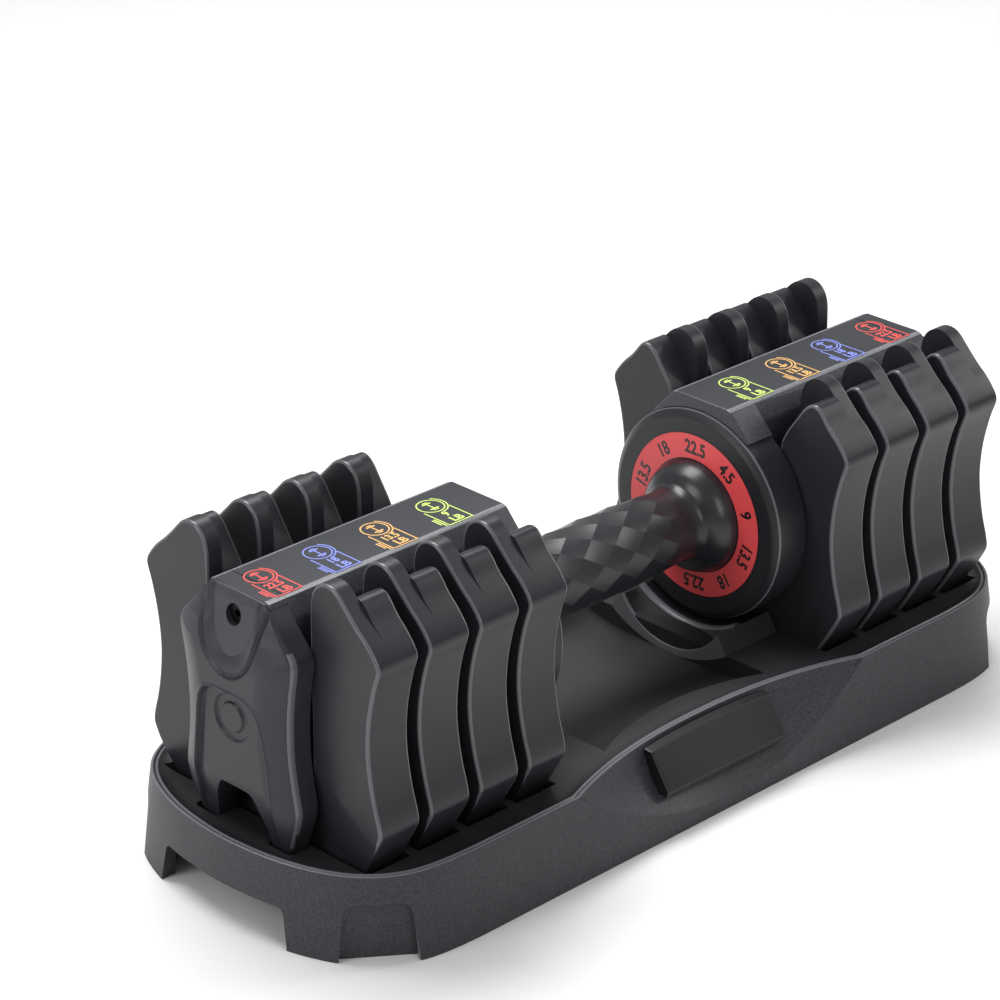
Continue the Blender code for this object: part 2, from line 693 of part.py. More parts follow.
# ---------------------------------------------------------------- weight plates
def crease_line(drop):
    """Area under the crease of a plate's outer face, its top edge lowered by drop (mm)."""
    edge = [(-80.0, -44.5 - drop), (0.0, -drop), (80.0, -44.5 - drop)]
    return at_axis(edge + [(80.0, -82.0), (-80.0, -82.0)])


def build_plates(tag, side):
    fin_line = at_axis(mirrored(FIN_HALF))
    body_line = at_axis(mirrored(BODY_HALF))
    for k in range(4):
        number = 4 - k
        out = PLATE_OUT - k * PITCH
        fin = stack("plate_%s%d_fin" % (tag, number), [
            (fin_line, out - FIN_T + 0.5 * GAP),
            (fin_line, out - 0.9 * MM),
            (inset(fin_line, 0.9 * MM), out),
        ], side=side)
        link(fin, PLATE_COAT)
        # the outer face falls away below a roof-shaped crease
        fall = stack("fin_fall_%s%d" % (tag, k), [
            (crease_line(-9.0), out + 1.0 * MM),
            (crease_line(27.0), out - 3.0 * MM),
        ], side=side)
        link(fall, cutter=True)
        boolean(fin, fall)
        body = stack("plate_%s%d_block" % (tag, number), [
            (inset(body_line, 1.0 * MM), out - PLATE_T),
            (body_line, out - PLATE_T + 1.0 * MM),
            (body_line, out - FIN_T - 0.5 * GAP),
        ], side=side)
        link(body, PLATE_COAT)
        riser_line = at_axis([(-5.0, -40.0), (5.0, -40.0), (5.0, -11.4), (-5.0, -11.4)])
        riser = stack("riser_%s%d" % (tag, k), [
            (riser_line, out - 10.8 * MM), (riser_line, out - 8.4 * MM),
        ], side=side)
        link(riser, cutter=True)
        boolean(body, riser, "UNION")
        finger_line = at_axis([(-3.2, -15.0), (3.2, -15.0), (3.2, -11.6), (-3.2, -11.6)])
        finger = stack("finger_%s%d" % (tag, k), [
            (finger_line, out - 15.9 * MM), (finger_line, out - 10.0 * MM),
        ], side=side)
        link(finger, cutter=True)
        boolean(body, finger, "UNION")


def parent_empty(name, height, prefixes):
    """Hang the pieces whose names start with the prefixes on an empty that moves them together."""
    moving = [obj for obj in PARTS.objects if obj.name.startswith(prefixes)]
    empty = bpy.data.objects.new(name, None)
    empty.location = (0.0, 0.0, height)
    PARTS.objects.link(empty)
    for obj in moving:
        obj.parent = empty
        obj.matrix_parent_inverse = Matrix.Translation((0.0, 0.0, -height))


build_tray()
build_pads()
build_grip()
build_shaft()
for tag, side in SIDES:
    build_housing(tag, side)
    build_cover(tag, side)
    build_drum(tag, side)
    build_bush(tag, side)
    build_lock_pin(tag, side)
    build_ring(tag, side)
    build_collar(tag, side)
    build_lock_ring(tag, side)
    for k in range(4):
        build_disc(tag, side, k)
    build_plates(tag, side)

parent_empty("selector_pivot", AXIS_Z, ("grip", "selector", "bell", "number", "lock_ring"))
parent_empty("carrier_frame", AXIS_Z, ("housing", "end_", "dial", "shaft_bush", "lock_pin"))
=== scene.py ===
"""Looks of the adjustable dumbbell in its storage tray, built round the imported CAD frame.

X runs along the handle, Z is up. Outlines are in millimetres, (y, height over the handle
axis) unless a comment says otherwise, and every piece is placed in metres.
"""
import math

import bmesh
import bpy
import numpy as np
from mathutils import Matrix, Vector


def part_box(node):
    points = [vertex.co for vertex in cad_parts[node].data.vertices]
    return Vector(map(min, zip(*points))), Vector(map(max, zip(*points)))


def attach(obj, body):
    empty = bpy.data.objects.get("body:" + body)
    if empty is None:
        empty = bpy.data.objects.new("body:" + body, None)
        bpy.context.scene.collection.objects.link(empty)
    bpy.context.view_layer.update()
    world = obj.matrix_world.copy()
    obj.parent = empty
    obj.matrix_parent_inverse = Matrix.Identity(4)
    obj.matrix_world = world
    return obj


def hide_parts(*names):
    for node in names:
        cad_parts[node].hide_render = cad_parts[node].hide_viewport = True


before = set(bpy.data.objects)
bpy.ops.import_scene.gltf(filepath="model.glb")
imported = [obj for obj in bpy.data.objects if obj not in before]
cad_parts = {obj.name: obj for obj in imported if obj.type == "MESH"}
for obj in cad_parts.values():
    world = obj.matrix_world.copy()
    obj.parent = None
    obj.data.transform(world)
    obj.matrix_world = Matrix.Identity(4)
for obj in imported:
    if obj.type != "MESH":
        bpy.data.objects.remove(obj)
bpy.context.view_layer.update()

MM = 0.001
SIDES = (("l", -1.0), ("r", 1.0))

# places taken from the frame
RING_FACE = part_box("number_ring_r")[0].x
DRUM_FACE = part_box("dial_drum_r")[0].x
HOUSING_LOW, HOUSING_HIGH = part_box("housing_r")
TOP_Z = HOUSING_HIGH.z
COVER_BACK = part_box("end_cover_r")[0].x
PLATE_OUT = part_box("plate_r4_fin")[1].x
PITCH = PLATE_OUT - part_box("plate_r3_fin")[1].x

# shared with the CAD model
AXIS_Z = 0.086
FIN_T = 7.8 * MM
PLATE_T = 21.2 * MM
PLATE_COUNT = 4
PIN_X = 73.2  # mm along X to the lock pin and its post
NEAR_AXIS = 0.0001  # mm, radius that closes a turned cutter

# material slots of the pieces that have more than one material: painted edge highlights on rims and
# chamfers, a lighter tone painted on the V panel's floor where it faces the light, the label bed
# and the deck
EDGE = 1
PANEL = 2
STRIP_SLOT = 2
BED_SLOT = 3
DECK_SLOT = 2

# prints: weight and ink of each label from the hand outwards, then the dial's numerals by angle
LABELS = (("9", "print_green"), ("13.5", "print_tan"), ("18", "print_blue"), ("22.5", "print_red"))
LABEL_FIRST = 90.7 * MM
LABEL_STEP = 30.6 * MM
LABEL_TEXT = 6.0
DIAL_TEXT = 8.5
DIAL = (
    ("13.5", 18.0), ("18", 54.0), ("22.5", 90.0), ("4.5", 126.0),
    ("9", 162.0), ("13.5", 198.0), ("18", 234.0), ("22.5", 268.0),
)

MADE = bpy.data.collections.new("looks")
bpy.context.scene.collection.children.link(MADE)


# ---------------------------------------------------------------- materials
class Nodes:
    """Small helper for a node tree round one Principled shader."""

    def __init__(self, name, colour, roughness, metallic=0.0, specular=0.5):
        self.mat = bpy.data.materials.new(name)
        self.mat.use_nodes = True
        self.mat.diffuse_color = (colour[0], colour[1], colour[2], 1.0)
        self.tree = self.mat.node_tree
        self.shader = self.tree.nodes["Principled BSDF"]
        self.shader.inputs["Metallic"].default_value = metallic
        self.shader.inputs["Roughness"].default_value = roughness
        self.shader.inputs["Specular IOR Level"].default_value = specular
        self.place = self.add("ShaderNodeTexCoord").outputs["Object"]

    def add(self, kind, **settings):
        node = self.tree.nodes.new(kind)
        for key, value in settings.items():
            setattr(node, key, value)
        return node

    def join(self, a, b):
        self.tree.links.new(a, b)

    def noise(self, scale, detail=2.0, rough=0.5, stretch=None):
        node = self.add("ShaderNodeTexNoise")
        node.inputs["Scale"].default_value = scale
        node.inputs["Detail"].default_value = detail
        node.inputs["Roughness"].default_value = rough
        if stretch is None:
            self.join(self.place, node.inputs["Vector"])
        else:
            mapping = self.add("ShaderNodeMapping")
            mapping.inputs["Scale"].default_value = stretch
            self.join(self.place, mapping.inputs["Vector"])
            self.join(mapping.outputs["Vector"], node.inputs["Vector"])
        return node.outputs["Fac"]

    def remap(self, value, low, high, to_low, to_high):
        node = self.add("ShaderNodeMapRange")
        node.inputs["From Min"].default_value = low
        node.inputs["From Max"].default_value = high
        node.inputs["To Min"].default_value = to_low
        node.inputs["To Max"].default_value = to_high
        self.join(value, node.inputs["Value"])
        return node.outputs["Result"]

    def tint(self, factor, dark, light):
        node = self.add("ShaderNodeMix", data_type="RGBA")
        node.inputs[6].default_value = (*dark, 1.0)
        node.inputs[7].default_value = (*light, 1.0)
        self.join(factor, node.inputs[0])
        return node.outputs[2]

    def bump(self, height, strength, distance):
        node = self.add("ShaderNodeBump")
        node.inputs["Strength"].default_value = strength
        node.inputs["Distance"].default_value = distance
        self.join(height, node.inputs["Height"])
        self.join(node.outputs["Normal"], self.shader.inputs["Normal"])


def scaled(colour, by):
    return tuple(min(1.0, c * by) for c in colour)


def moulded(name, colour, roughness, grain, depth, speckle, patch=0.10, specular=0.34):
    """Moulded plastic: fine mould texture, speckle, broad unevenness in tone and gloss.

    grain is the texture's scale, depth its height in mm, speckle and patch how far the tone
    wanders in the small and over the whole piece.
    """
    n = Nodes(name, colour, roughness, 0.0, specular)
    fine = n.noise(grain, 3.0, 0.6)
    broad = n.noise(22.0, 4.0, 0.55)
    tone = n.add("ShaderNodeMath", operation="ADD")
    n.join(n.remap(fine, 0.35, 0.65, -speckle, speckle), tone.inputs[0])
    n.join(n.remap(broad, 0.3, 0.7, 0.5 - patch, 0.5 + patch), tone.inputs[1])
    n.join(n.tint(tone.outputs[0], scaled(colour, 0.70), scaled(colour, 1.34)),
           n.shader.inputs["Base Color"])
    n.join(n.remap(broad, 0.3, 0.7, roughness - 0.05, roughness + 0.06),
           n.shader.inputs["Roughness"])
    n.bump(fine, 0.55, depth * MM)
    return n.mat


def polished(name, colour, roughness):
    """Glossy moulding with faint orange peel and handling marks."""
    n = Nodes(name, colour, roughness)
    peel = n.noise(260.0, 2.0, 0.5)
    smear = n.noise(45.0, 5.0, 0.65, (1.0, 0.35, 1.0))
    n.join(n.tint(smear, scaled(colour, 0.8), scaled(colour, 1.3)), n.shader.inputs["Base Color"])
    n.join(n.remap(smear, 0.3, 0.75, roughness * 0.8, roughness * 1.5),
           n.shader.inputs["Roughness"])
    n.bump(peel, 0.25, 0.02 * MM)
    return n.mat


def printed(name, colour, roughness=0.42):
    """Screen-printed ink with slight wear."""
    n = Nodes(name, colour, roughness)
    worn = n.noise(900.0, 3.0, 0.7)
    n.join(n.tint(n.remap(worn, 0.3, 0.7, 0.0, 1.0), scaled(colour, 0.80), scaled(colour, 1.10)),
           n.shader.inputs["Base Color"])
    n.bump(worn, 0.2, 0.02 * MM)
    return n.mat


def machined(name, colour, roughness):
    """Turned or ground metal: fine lines along one way and a little staining."""
    n = Nodes(name, colour, roughness, 1.0)
    lines = n.noise(500.0, 2.0, 0.6, (0.08, 1.0, 1.0))
    stain = n.noise(70.0, 4.0, 0.6)
    n.join(n.tint(stain, scaled(colour, 0.72), scaled(colour, 1.12)), n.shader.inputs["Base Color"])
    n.join(n.remap(lines, 0.3, 0.7, roughness - 0.08, roughness + 0.12),
           n.shader.inputs["Roughness"])
    n.bump(lines, 0.3, 0.02 * MM)
    return n.mat


TRAY = moulded("tray_moulding", (0.0310, 0.0321, 0.0370), 0.46, 1000.0, 0.09, 0.55)
# painted highlight: a lighter copy of the tray moulding for the rim's ridges, the cradle lips and
# the foot panels' steps
TRAY_HIGHLIGHT = moulded("tray_edge_highlight", (0.1286, 0.1312, 0.1415), 0.34, 1400.0, 0.03, 0.20)
DECK = moulded("tray_deck", (0.0170, 0.0177, 0.0205), 0.50, 1500.0, 0.03, 0.15)
COAT = moulded("plate_coat", (0.0181, 0.0191, 0.0229), 0.37, 1500.0, 0.03, 0.16)
# painted highlight: a lighter copy of the plate coating for the plates' rounded rims
COAT_HIGHLIGHT = moulded("plate_coat_highlight", (0.0905, 0.0923, 0.0996), 0.24, 1500.0, 0.02, 0.10, 0.1, 0.5)
HOUSING = moulded("housing_moulding", (0.0431, 0.0453, 0.0546), 0.40, 1150.0, 0.08, 0.60)
LABEL_BED = moulded("label_bed", (0.0245, 0.0258, 0.0310), 0.46, 1700.0, 0.02, 0.10)
# painted highlight: a light copy for the chamfers beside the housing's flat top
CHAMFER_HIGHLIGHT = moulded("chamfer_highlight", (0.1749, 0.1784, 0.1924), 0.38, 1300.0, 0.03, 0.35)
COVER = moulded("cover_moulding", (0.0221, 0.0232, 0.0279), 0.40, 1400.0, 0.03, 0.20)
# lighter copy of the cover moulding, painted on the V panel's floor where it faces the light
COVER_PANEL_LIT = moulded("cover_panel_lit", (0.0420, 0.0440, 0.0520), 0.44, 1500.0, 0.03, 0.15)
# painted highlight: a lighter copy of the cover moulding for the cover's rim and the dial face's
# front edge
COVER_HIGHLIGHT = moulded("cover_edge_highlight", (0.1029, 0.1050, 0.1132), 0.28, 1500.0, 0.02, 0.10, 0.1, 0.5)
DRUM = moulded("drum_moulding", (0.0147, 0.0155, 0.0186), 0.40, 1600.0, 0.02, 0.10)
BADGE = moulded("badge_moulding", (0.0103, 0.0108, 0.0130), 0.40, 1700.0, 0.02, 0.10)
GRIP = moulded("grip_moulding", (0.0172, 0.0180, 0.0217), 0.30, 1300.0, 0.02, 0.12, 0.1, 0.5)
BELL = polished("bell_black", (0.0147, 0.0155, 0.0186), 0.25)
RED = moulded("ring_red", (0.74, 0.078, 0.085), 0.36, 1400.0, 0.02, 0.05, 0.06)
INK = printed("ink_black", (0.006, 0.006, 0.007))
STEEL = machined("machined_steel", (0.42, 0.43, 0.45), 0.32)
BLACKED = machined("blacked_steel", (0.020, 0.020, 0.022), 0.45)
BRONZE = machined("bush_metal", (0.48, 0.33, 0.18), 0.36)
HOUSING_MATS = (HOUSING, HOUSING, CHAMFER_HIGHLIGHT, LABEL_BED)
PRINTS = {
    "print_red": printed("print_red", (0.82, 0.085, 0.075)),
    "print_blue": printed("print_blue", (0.22, 0.27, 0.76)),
    "print_tan": printed("print_tan", (0.82, 0.46, 0.15)),
    "print_green": printed("print_green", (0.62, 0.80, 0.18)),
}


# ---------------------------------------------------------------- shape tools
def mirrored(half):
    """Whole outline from its half on the positive side."""
    other = [(-a, b) for a, b in reversed(half) if abs(a) > 1e-9]
    return half + other


def at_axis(points):
    """Outline in mm about the handle axis, turned into metres over the ground."""
    return [(y * MM, z * MM + AXIS_Z) for y, z in points]


def soften(points, rounds=2):
    """Round off every corner of a closed outline a little."""
    for _ in range(rounds):
        cut = []
        for i, (ax, ay) in enumerate(points):
            bx, by = points[(i + 1) % len(points)]
            cut.append((0.75 * ax + 0.25 * bx, 0.75 * ay + 0.25 * by))
            cut.append((0.25 * ax + 0.75 * bx, 0.25 * ay + 0.75 * by))
        points = cut
    return points


def inset(points, d):
    """Move a closed outline inwards by d (negative d grows it)."""
    n = len(points)
    area = 0.0
    for (ax, ay), (bx, by) in zip(points, points[1:] + points[:1]):
        area += ax * by - bx * ay
    sign = 1.0 if area > 0 else -1.0
    moved = []
    for i in range(n):
        here = Vector(points[i])
        a = (here - Vector(points[i - 1])).normalized()
        b = (Vector(points[(i + 1) % n]) - here).normalized()
        na = Vector((-a.y, a.x)) * sign
        nb = Vector((-b.y, b.x)) * sign
        mid = (na + nb).normalized()
        reach = d / max(0.5, mid.dot(na))
        moved.append((here.x + mid.x * reach, here.y + mid.y * reach))
    return moved


def new_object(name, bm, mats):
    """Object from a bmesh, with its normals facing outwards."""
    mesh = bpy.data.meshes.new(name)
    bmesh.ops.recalc_face_normals(bm, faces=bm.faces)
    bm.to_mesh(mesh)
    bm.free()
    obj = bpy.data.objects.new(name, mesh)
    MADE.objects.link(obj)
    for mat in mats:
        mesh.materials.append(mat)
    return obj


def loft(name, loops, mats, rim_rows=()):
    """Closed skin through loops of 3-D points; rows in rim_rows take slot 1, which holds a painted
    edge highlight where the piece has one.
    """
    bm = bmesh.new()
    layers = [[bm.verts.new(p) for p in loop] for loop in loops]
    n = len(layers[0])
    for row, (low, high) in enumerate(zip(layers, layers[1:])):
        for i in range(n):
            j = (i + 1) % n
            face = bm.faces.new((low[i], low[j], high[j], high[i]))
            if row in rim_rows:
                face.material_index = EDGE
    bm.faces.new(layers[0])
    bm.faces.new(layers[-1])
    return new_object(name, bm, mats)


def slab(name, outline, start, end, round_start, round_end, mats, side=1.0, steps=4):
    """Flat piece across X from an outline in (y, z), with rounded rims in slot 1, which holds a
    painted edge highlight where the piece has one.
    """
    loops = []
    for k in range(steps + 1):
        if round_start or k == steps:
            a = 0.5 * math.pi * k / steps
            line = inset(outline, round_start * (1.0 - math.sin(a)))
            x = start + round_start * (1.0 - math.cos(a))
            loops.append([(side * x, y, z) for y, z in line])
    rims = list(range(len(loops) - 1))
    middle = len(loops)
    for k in range(steps + 1):
        if round_end or k == 0:
            a = 0.5 * math.pi * k / steps
            line = inset(outline, round_end * (1.0 - math.cos(a)))
            x = end - round_end * (1.0 - math.sin(a))
            loops.append([(side * x, y, z) for y, z in line])
    rims += range(middle, len(loops) - 1)
    return loft(name, loops, mats, rim_rows=rims)


def bake(obj):
    """Apply the piece's modifiers and drop its cutters."""
    cutters = [m.object for m in obj.modifiers if m.type == "BOOLEAN"]
    deps = bpy.context.evaluated_depsgraph_get()
    deps.update()
    mesh = bpy.data.meshes.new_from_object(obj.evaluated_get(deps))
    old = obj.data
    obj.modifiers.clear()
    obj.data = mesh
    bpy.data.meshes.remove(old)
    for cutter in cutters:
        bpy.data.objects.remove(cutter, do_unlink=True)


def cut(obj, cutter, operation="DIFFERENCE"):
    """Queue a cut, or with "UNION" an addition, that bake() applies."""
    mod = obj.modifiers.new(cutter.name, "BOOLEAN")
    mod.operation = operation
    mod.solver = "EXACT"
    mod.object = cutter
    cutter.hide_render = True
    cutter.hide_viewport = True


def shade(obj, degrees, weighted=True):
    """Smooth shading with sharp edges above an angle in degrees."""
    obj.data.shade_smooth()
    obj.data.set_sharp_from_angle(angle=math.radians(degrees))
    if weighted:
        mod = obj.modifiers.new("even_normals", "WEIGHTED_NORMAL")
        mod.keep_sharp = True
        mod.weight = 80


def dress(obj, body, nodes=()):
    """Tie a finished piece to its body and the CAD nodes it stands for."""
    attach(obj, body)
    if nodes:
        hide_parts(*nodes)


def turned_piece(name, profile, mats, side, steps, rim_rows=()):
    """Turned about the handle axis; the closed profile is (distance along X, radius) in mm."""
    bm = bmesh.new()
    rows = []
    for x, r in profile:
        row = []
        for k in range(steps):
            t = math.tau * k / steps
            spot = (side * x * MM, r * MM * math.cos(t), AXIS_Z + r * MM * math.sin(t))
            row.append(bm.verts.new(spot))
        rows.append(row)
    pairs = list(zip(rows, rows[1:])) + [(rows[-1], rows[0])]
    for row, (low, high) in enumerate(pairs):
        for i in range(steps):
            j = (i + 1) % steps
            face = bm.faces.new((low[i], low[j], high[j], high[i]))
            if row in rim_rows:
                face.material_index = EDGE
    return new_object(name, bm, mats)


def upright_rod(name, side, stations, mat):
    """Round rod under the drum at the lock pin; stations are (radius, height) in mm."""
    turn = [math.tau * k / 32 for k in range(32)]
    loops = []
    for r, z in stations:
        loops.append([
            (side * PIN_X * MM + r * MM * math.cos(t), r * MM * math.sin(t), z * MM) for t in turn
        ])
    return loft(name, loops, (mat,))


def rounded_profile(points, radius, steps):
    """Round the corners of a closed profile with short arcs."""
    made = []
    n = len(points)
    for i in range(n):
        here = Vector(points[i])
        before = Vector(points[i - 1]) - here
        after = Vector(points[(i + 1) % n]) - here
        r = min(radius, 0.45 * before.length, 0.45 * after.length)
        a = here + before.normalized() * r
        b = here + after.normalized() * r
        for k in range(steps + 1):
            t = k / steps
            p = a.lerp(here, t).lerp(here.lerp(b, t), t)
            made.append((p.x, p.y))
    return made


# ---------------------------------------------------------------- weight plates
SIDE_HALF = [
    (0.0, -60.0), (50.0, -60.0), (53.6, -58.2), (60.6, -47.4), (67.4, -35.6), (68.4, -32.5),
    (67.8, -28.5), (64.4, -17.8), (62.2, -5.0), (61.6, 5.0), (62.8, 18.0), (65.9, 31.0),
    (68.0, 36.6), (68.7, 39.2), (67.9, 42.2), (62.8, 48.6),
]
SLOT_HALF = [(30.0, -25.0), (28.2, -30.0), (23.4, -32.6), (0.0, -33.0)]
FIN_HALF = SIDE_HALF + [
    (57.0, 53.2), (50.5, 59.8), (46.0, 64.6), (42.0, 66.4), (37.5, 66.2), (33.2, 63.4),
    (30.8, 58.8), (30.0, 52.0),
] + SLOT_HALF
BODY_HALF = SIDE_HALF + [
    (57.4, 53.4), (53.8, 58.4), (51.0, 61.0), (47.4, 61.0), (43.6, 58.4), (39.6, 52.4),
    (34.0, 44.6), (30.0, 36.0),
] + SLOT_HALF
# (mm in from the plate's outer face, height over the axis)
HOOK_LINE = [(10.8, -35.0), (8.4, -35.0), (8.4, -11.6), (15.9, -11.6), (15.9, -15.0), (10.8, -15.0)]


def crease_line(drop):
    """Outline under a roof-like crease that stands or falls by drop (mm) at the middle."""
    edge = [(-80.0, -44.5 - drop), (0.0, -drop), (80.0, -44.5 - drop)]
    return at_axis(edge + [(80.0, -82.0), (-80.0, -82.0)])


def make_plates(tag, side):
    """Each plate is a tall fin outside, a thicker block behind it and a hidden hook."""
    fin_line = soften(at_axis(mirrored(FIN_HALF)))
    body_line = soften(at_axis(mirrored(BODY_HALF)))
    for k in range(PLATE_COUNT):
        number = "%s%d" % (tag, PLATE_COUNT - k)
        out = PLATE_OUT - k * PITCH
        joint = out - FIN_T
        # fin and block below take a painted highlight on their rounded rims
        fin = slab("weight_fin_" + number, fin_line, joint, out, 0.0, 1.15 * MM,
                   (COAT, COAT_HIGHLIGHT), side)
        fall_near = [(side * (out + 1.0 * MM), y, z) for y, z in crease_line(-9.0)]
        fall_far = [(side * (out - 3.0 * MM), y, z) for y, z in crease_line(27.0)]
        cut(fin, loft("fin_fall_" + number, [fall_near, fall_far], (COAT,)))
        bake(fin)
        shade(fin, 40.0)
        dress(fin, "plate_" + number, ["plate_%s_fin" % number])
        # the lobes of fin and block part with a fine groove, their sides run on as one
        block = slab("weight_block_" + number, body_line, out - PLATE_T, joint, 1.2 * MM, 0.0,
                     (COAT, COAT_HIGHLIGHT), side)
        shade(block, 40.0)
        dress(block, "plate_" + number, ["plate_%s_block" % number])
        # hook under which the selector disc's rim turns
        hook_line = rounded_profile(HOOK_LINE, 0.4, 3)
        loops = []
        for y in (-3.2, -3.0, 3.0, 3.2):
            line = inset(hook_line, 0.2) if abs(y) > 3.1 else hook_line
            loops.append([(side * (out - a * MM), y * MM, AXIS_Z + b * MM) for a, b in line])
        hook = loft("plate_hook_" + number, loops, (STEEL,))
        shade(hook, 40.0)
        dress(hook, "plate_" + number)


# ---------------------------------------------------------------- housings
TOP_HALF = [(0.0, 53.6), (14.7, 53.6), (16.9, 52.8)]
SHELL_HALF = TOP_HALF + [(21.0, 46.0), (21.5, 44.9), (21.6, 43.6), (21.6, -20.0), (0.0, -20.0)]
HOOD_HALF = TOP_HALF + [(27.6, 41.4), (26.0, 38.0), (0.0, 38.0)]
CAP_HALF = TOP_HALF + [(18.0, 51.0), (0.0, 51.0)]
CAVITY_HALF = [
    (0.0, 50.8), (14.6, 50.8), (18.6, 44.6), (19.2, 42.6), (19.2, -34.0), (0.0, -34.0),
]


def paint_top(obj):
    """The flat top takes the label bed's finish, the chamfers beside it a painted highlight."""
    for face in obj.data.polygons:
        c = face.center
        if face.normal.z > 0.98 and c.z > TOP_Z - 0.2 * MM:
            face.material_index = BED_SLOT
        elif face.normal.z > 0.6 and c.z > TOP_Z - 1.0 * MM and 14.6 * MM < abs(c.y) < 17.0 * MM:
            face.material_index = STRIP_SLOT


def make_housing(tag, side):
    """Hollow shell between the plates' lobes with a hood over the drum, and its cap at the end."""
    body = slab("housing_shell_" + tag, at_axis(mirrored(SHELL_HALF)), 70.4 * MM, HOUSING_HIGH.x,
                0.2 * MM, 0.2 * MM, HOUSING_MATS, side)
    hood = slab("hood_" + tag, at_axis(mirrored(HOOD_HALF)), HOUSING_LOW.x, 82.6 * MM,
                1.0 * MM, 0.2 * MM, HOUSING_MATS, side)
    cut(body, hood, "UNION")
    relief = [(55.0, NEAR_AXIS), (55.0, 48.75), (83.3, 48.75), (83.3, NEAR_AXIS)]
    cut(body, turned_piece("relief_" + tag, relief, (HOUSING,), side, 160))
    cavity = slab("cavity_" + tag, at_axis(mirrored(CAVITY_HALF)), 85.7 * MM, 190.0 * MM,
                  0.1 * MM, 0.1 * MM, (HOUSING,), side)
    cut(body, cavity)
    bore = [(80.0, NEAR_AXIS), (80.0, 10.0), (90.0, 10.0), (90.0, NEAR_AXIS)]
    cut(body, turned_piece("bush_bore_" + tag, bore, (HOUSING,), side, 48))
    bake(body)
    paint_top(body)
    shade(body, 28.0)
    dress(body, "carrier", ["housing_" + tag])
    # the top runs on over the cover to the end
    cap = slab("top_end_" + tag, at_axis(mirrored(CAP_HALF)), 186.0 * MM, 195.3 * MM,
               0.1 * MM, 0.4 * MM, HOUSING_MATS, side)
    paint_top(cap)
    shade(cap, 28.0)
    dress(cap, "carrier")


# ---------------------------------------------------------------- end covers
COVER_SIDE_LINE = [
    (14.4, 53.4), (16.8, 52.2), (31.6, 35.6), (33.2, 32.4), (33.2, 28.4), (30.9, 17.0), (29.7, 4.0),
    (29.8, -10.0), (31.4, -22.0), (33.2, -31.0), (33.0, -35.6), (28.2, -48.4), (25.6, -56.2),
]


COVER_FOOT = -56.2
COVER_TOP = 53.4
COVER_ROWS = 230
COVER_COLUMNS = 170
V_TOP = 62.0


def rounded_v(bottom, bend, width, top_width):
    """Half outline of a V panel: a quarter oval up to the bend, then a straight side."""
    half = []
    for k in range(15):
        a = 0.5 * math.pi * k / 14.0
        half.append((width * math.sin(a), bend - (bend - bottom) * math.cos(a)))
    return half + [(top_width, V_TOP), (0.0, V_TOP)]


V_HALF = rounded_v(20.2, 41.5, 15.6, 19.4)
V_FLOOR_HALF = rounded_v(27.6, 43.0, 10.8, 14.4)
POCKET_HALF = [
    (0.0, 11.4), (9.0, 11.2), (13.8, 9.4), (16.8, 5.2), (18.6, -2.0), (20.4, -14.0), (22.6, -34.0),
    (23.8, -60.0), (0.0, -60.0),
]
ARCH_HALF = [
    (0.0, -31.0), (7.4, -31.0), (9.6, -32.0), (12.4, -37.4), (15.4, -47.0), (17.0, -60.0),
    (0.0, -60.0),
]


def line_distance(points, y, z):
    """Distance to a closed outline for arrays of points, negative inside (all in mm)."""
    best = np.full(y.shape, 1e9)
    inside = np.zeros(y.shape, bool)
    n = len(points)
    for i in range(n):
        ay, az = points[i]
        by, bz = points[(i + 1) % n]
        dy = by - ay
        dz = bz - az
        t = np.clip(((y - ay) * dy + (z - az) * dz) / (dy * dy + dz * dz + 1e-12), 0.0, 1.0)
        best = np.minimum(best, np.hypot(y - ay - t * dy, z - az - t * dz))
        if abs(dz) > 1e-12:
            crosses = ((az > z) != (bz > z)) & (y < ay + (z - az) * dy / dz)
            inside ^= crosses
    return np.where(inside, -best, best)


def smooth_step(low, high, value):
    """0 up to low, 1 from high, with a soft start and end between them."""
    t = np.clip((value - low) / (high - low), 0.0, 1.0)
    return t * t * (3.0 - 2.0 * t)


def cover_face(y, z, outline):
    """How far out the cover's face stands (mm along X) at y and height z over the axis."""
    face = np.interp(z, [COVER_FOOT, -48.0, -38.0, -28.0, 25.0, 38.0, 48.0, COVER_TOP],
                     [197.6, 199.4, 201.8, 203.6, 204.0, 202.6, 199.6, 197.2])
    edge = np.interp(z, [COVER_FOOT, -42.0, 0.0, 30.0, 44.0, COVER_TOP],
                     [195.6, 197.4, 198.2, 198.4, 197.8, 196.2])
    depth = -line_distance(outline, y, z)
    # roof-like slopes beside a flat middle, and a small round along the outer edge
    rise = np.clip(depth / 15.0, 0.0, 1.0)
    corner = np.clip(depth / 1.3, 0.0, 1.0)
    out = edge + (face - edge) * (1.0 - (1.0 - rise) ** 1.7)
    out = out - 1.3 * (1.0 - np.sqrt(1.0 - (1.0 - corner) ** 2))
    # V panel: sloped wall, flat floor, and a bead with a groove round it
    v = line_distance(mirrored(V_HALF), y, z)
    f = line_distance(mirrored(V_FLOOR_HALF), y, z)
    floor = np.minimum(196.8 + (COVER_TOP - z) * 0.205, out)
    down_wall = np.maximum(-v, 0.0) / (np.maximum(-v, 0.0) + np.maximum(f, 0.0) + 1e-9)
    out = out + (floor - out) * down_wall
    out = out - 0.75 * np.exp(-((v - 1.4) / 0.42) ** 2) + 0.60 * np.exp(-((v - 0.2) / 0.50) ** 2)
    # lower pocket with a raised lip
    p = line_distance(mirrored(POCKET_HALF), y, z)
    sunk = np.minimum(2.3, out - edge - 0.2)
    lip = 0.40 * np.exp(-((p - 0.8) / 0.5) ** 2) * (z < 13.0)
    out = out - sunk * np.clip((0.2 - p) / 1.1, 0.0, 1.0) + lip
    # ring sunk round the handle axis
    r = np.hypot(y, z)
    ring = smooth_step(6.0, 6.6, r) * (1.0 - smooth_step(9.8, 10.4, r))
    return out - 0.95 * ring


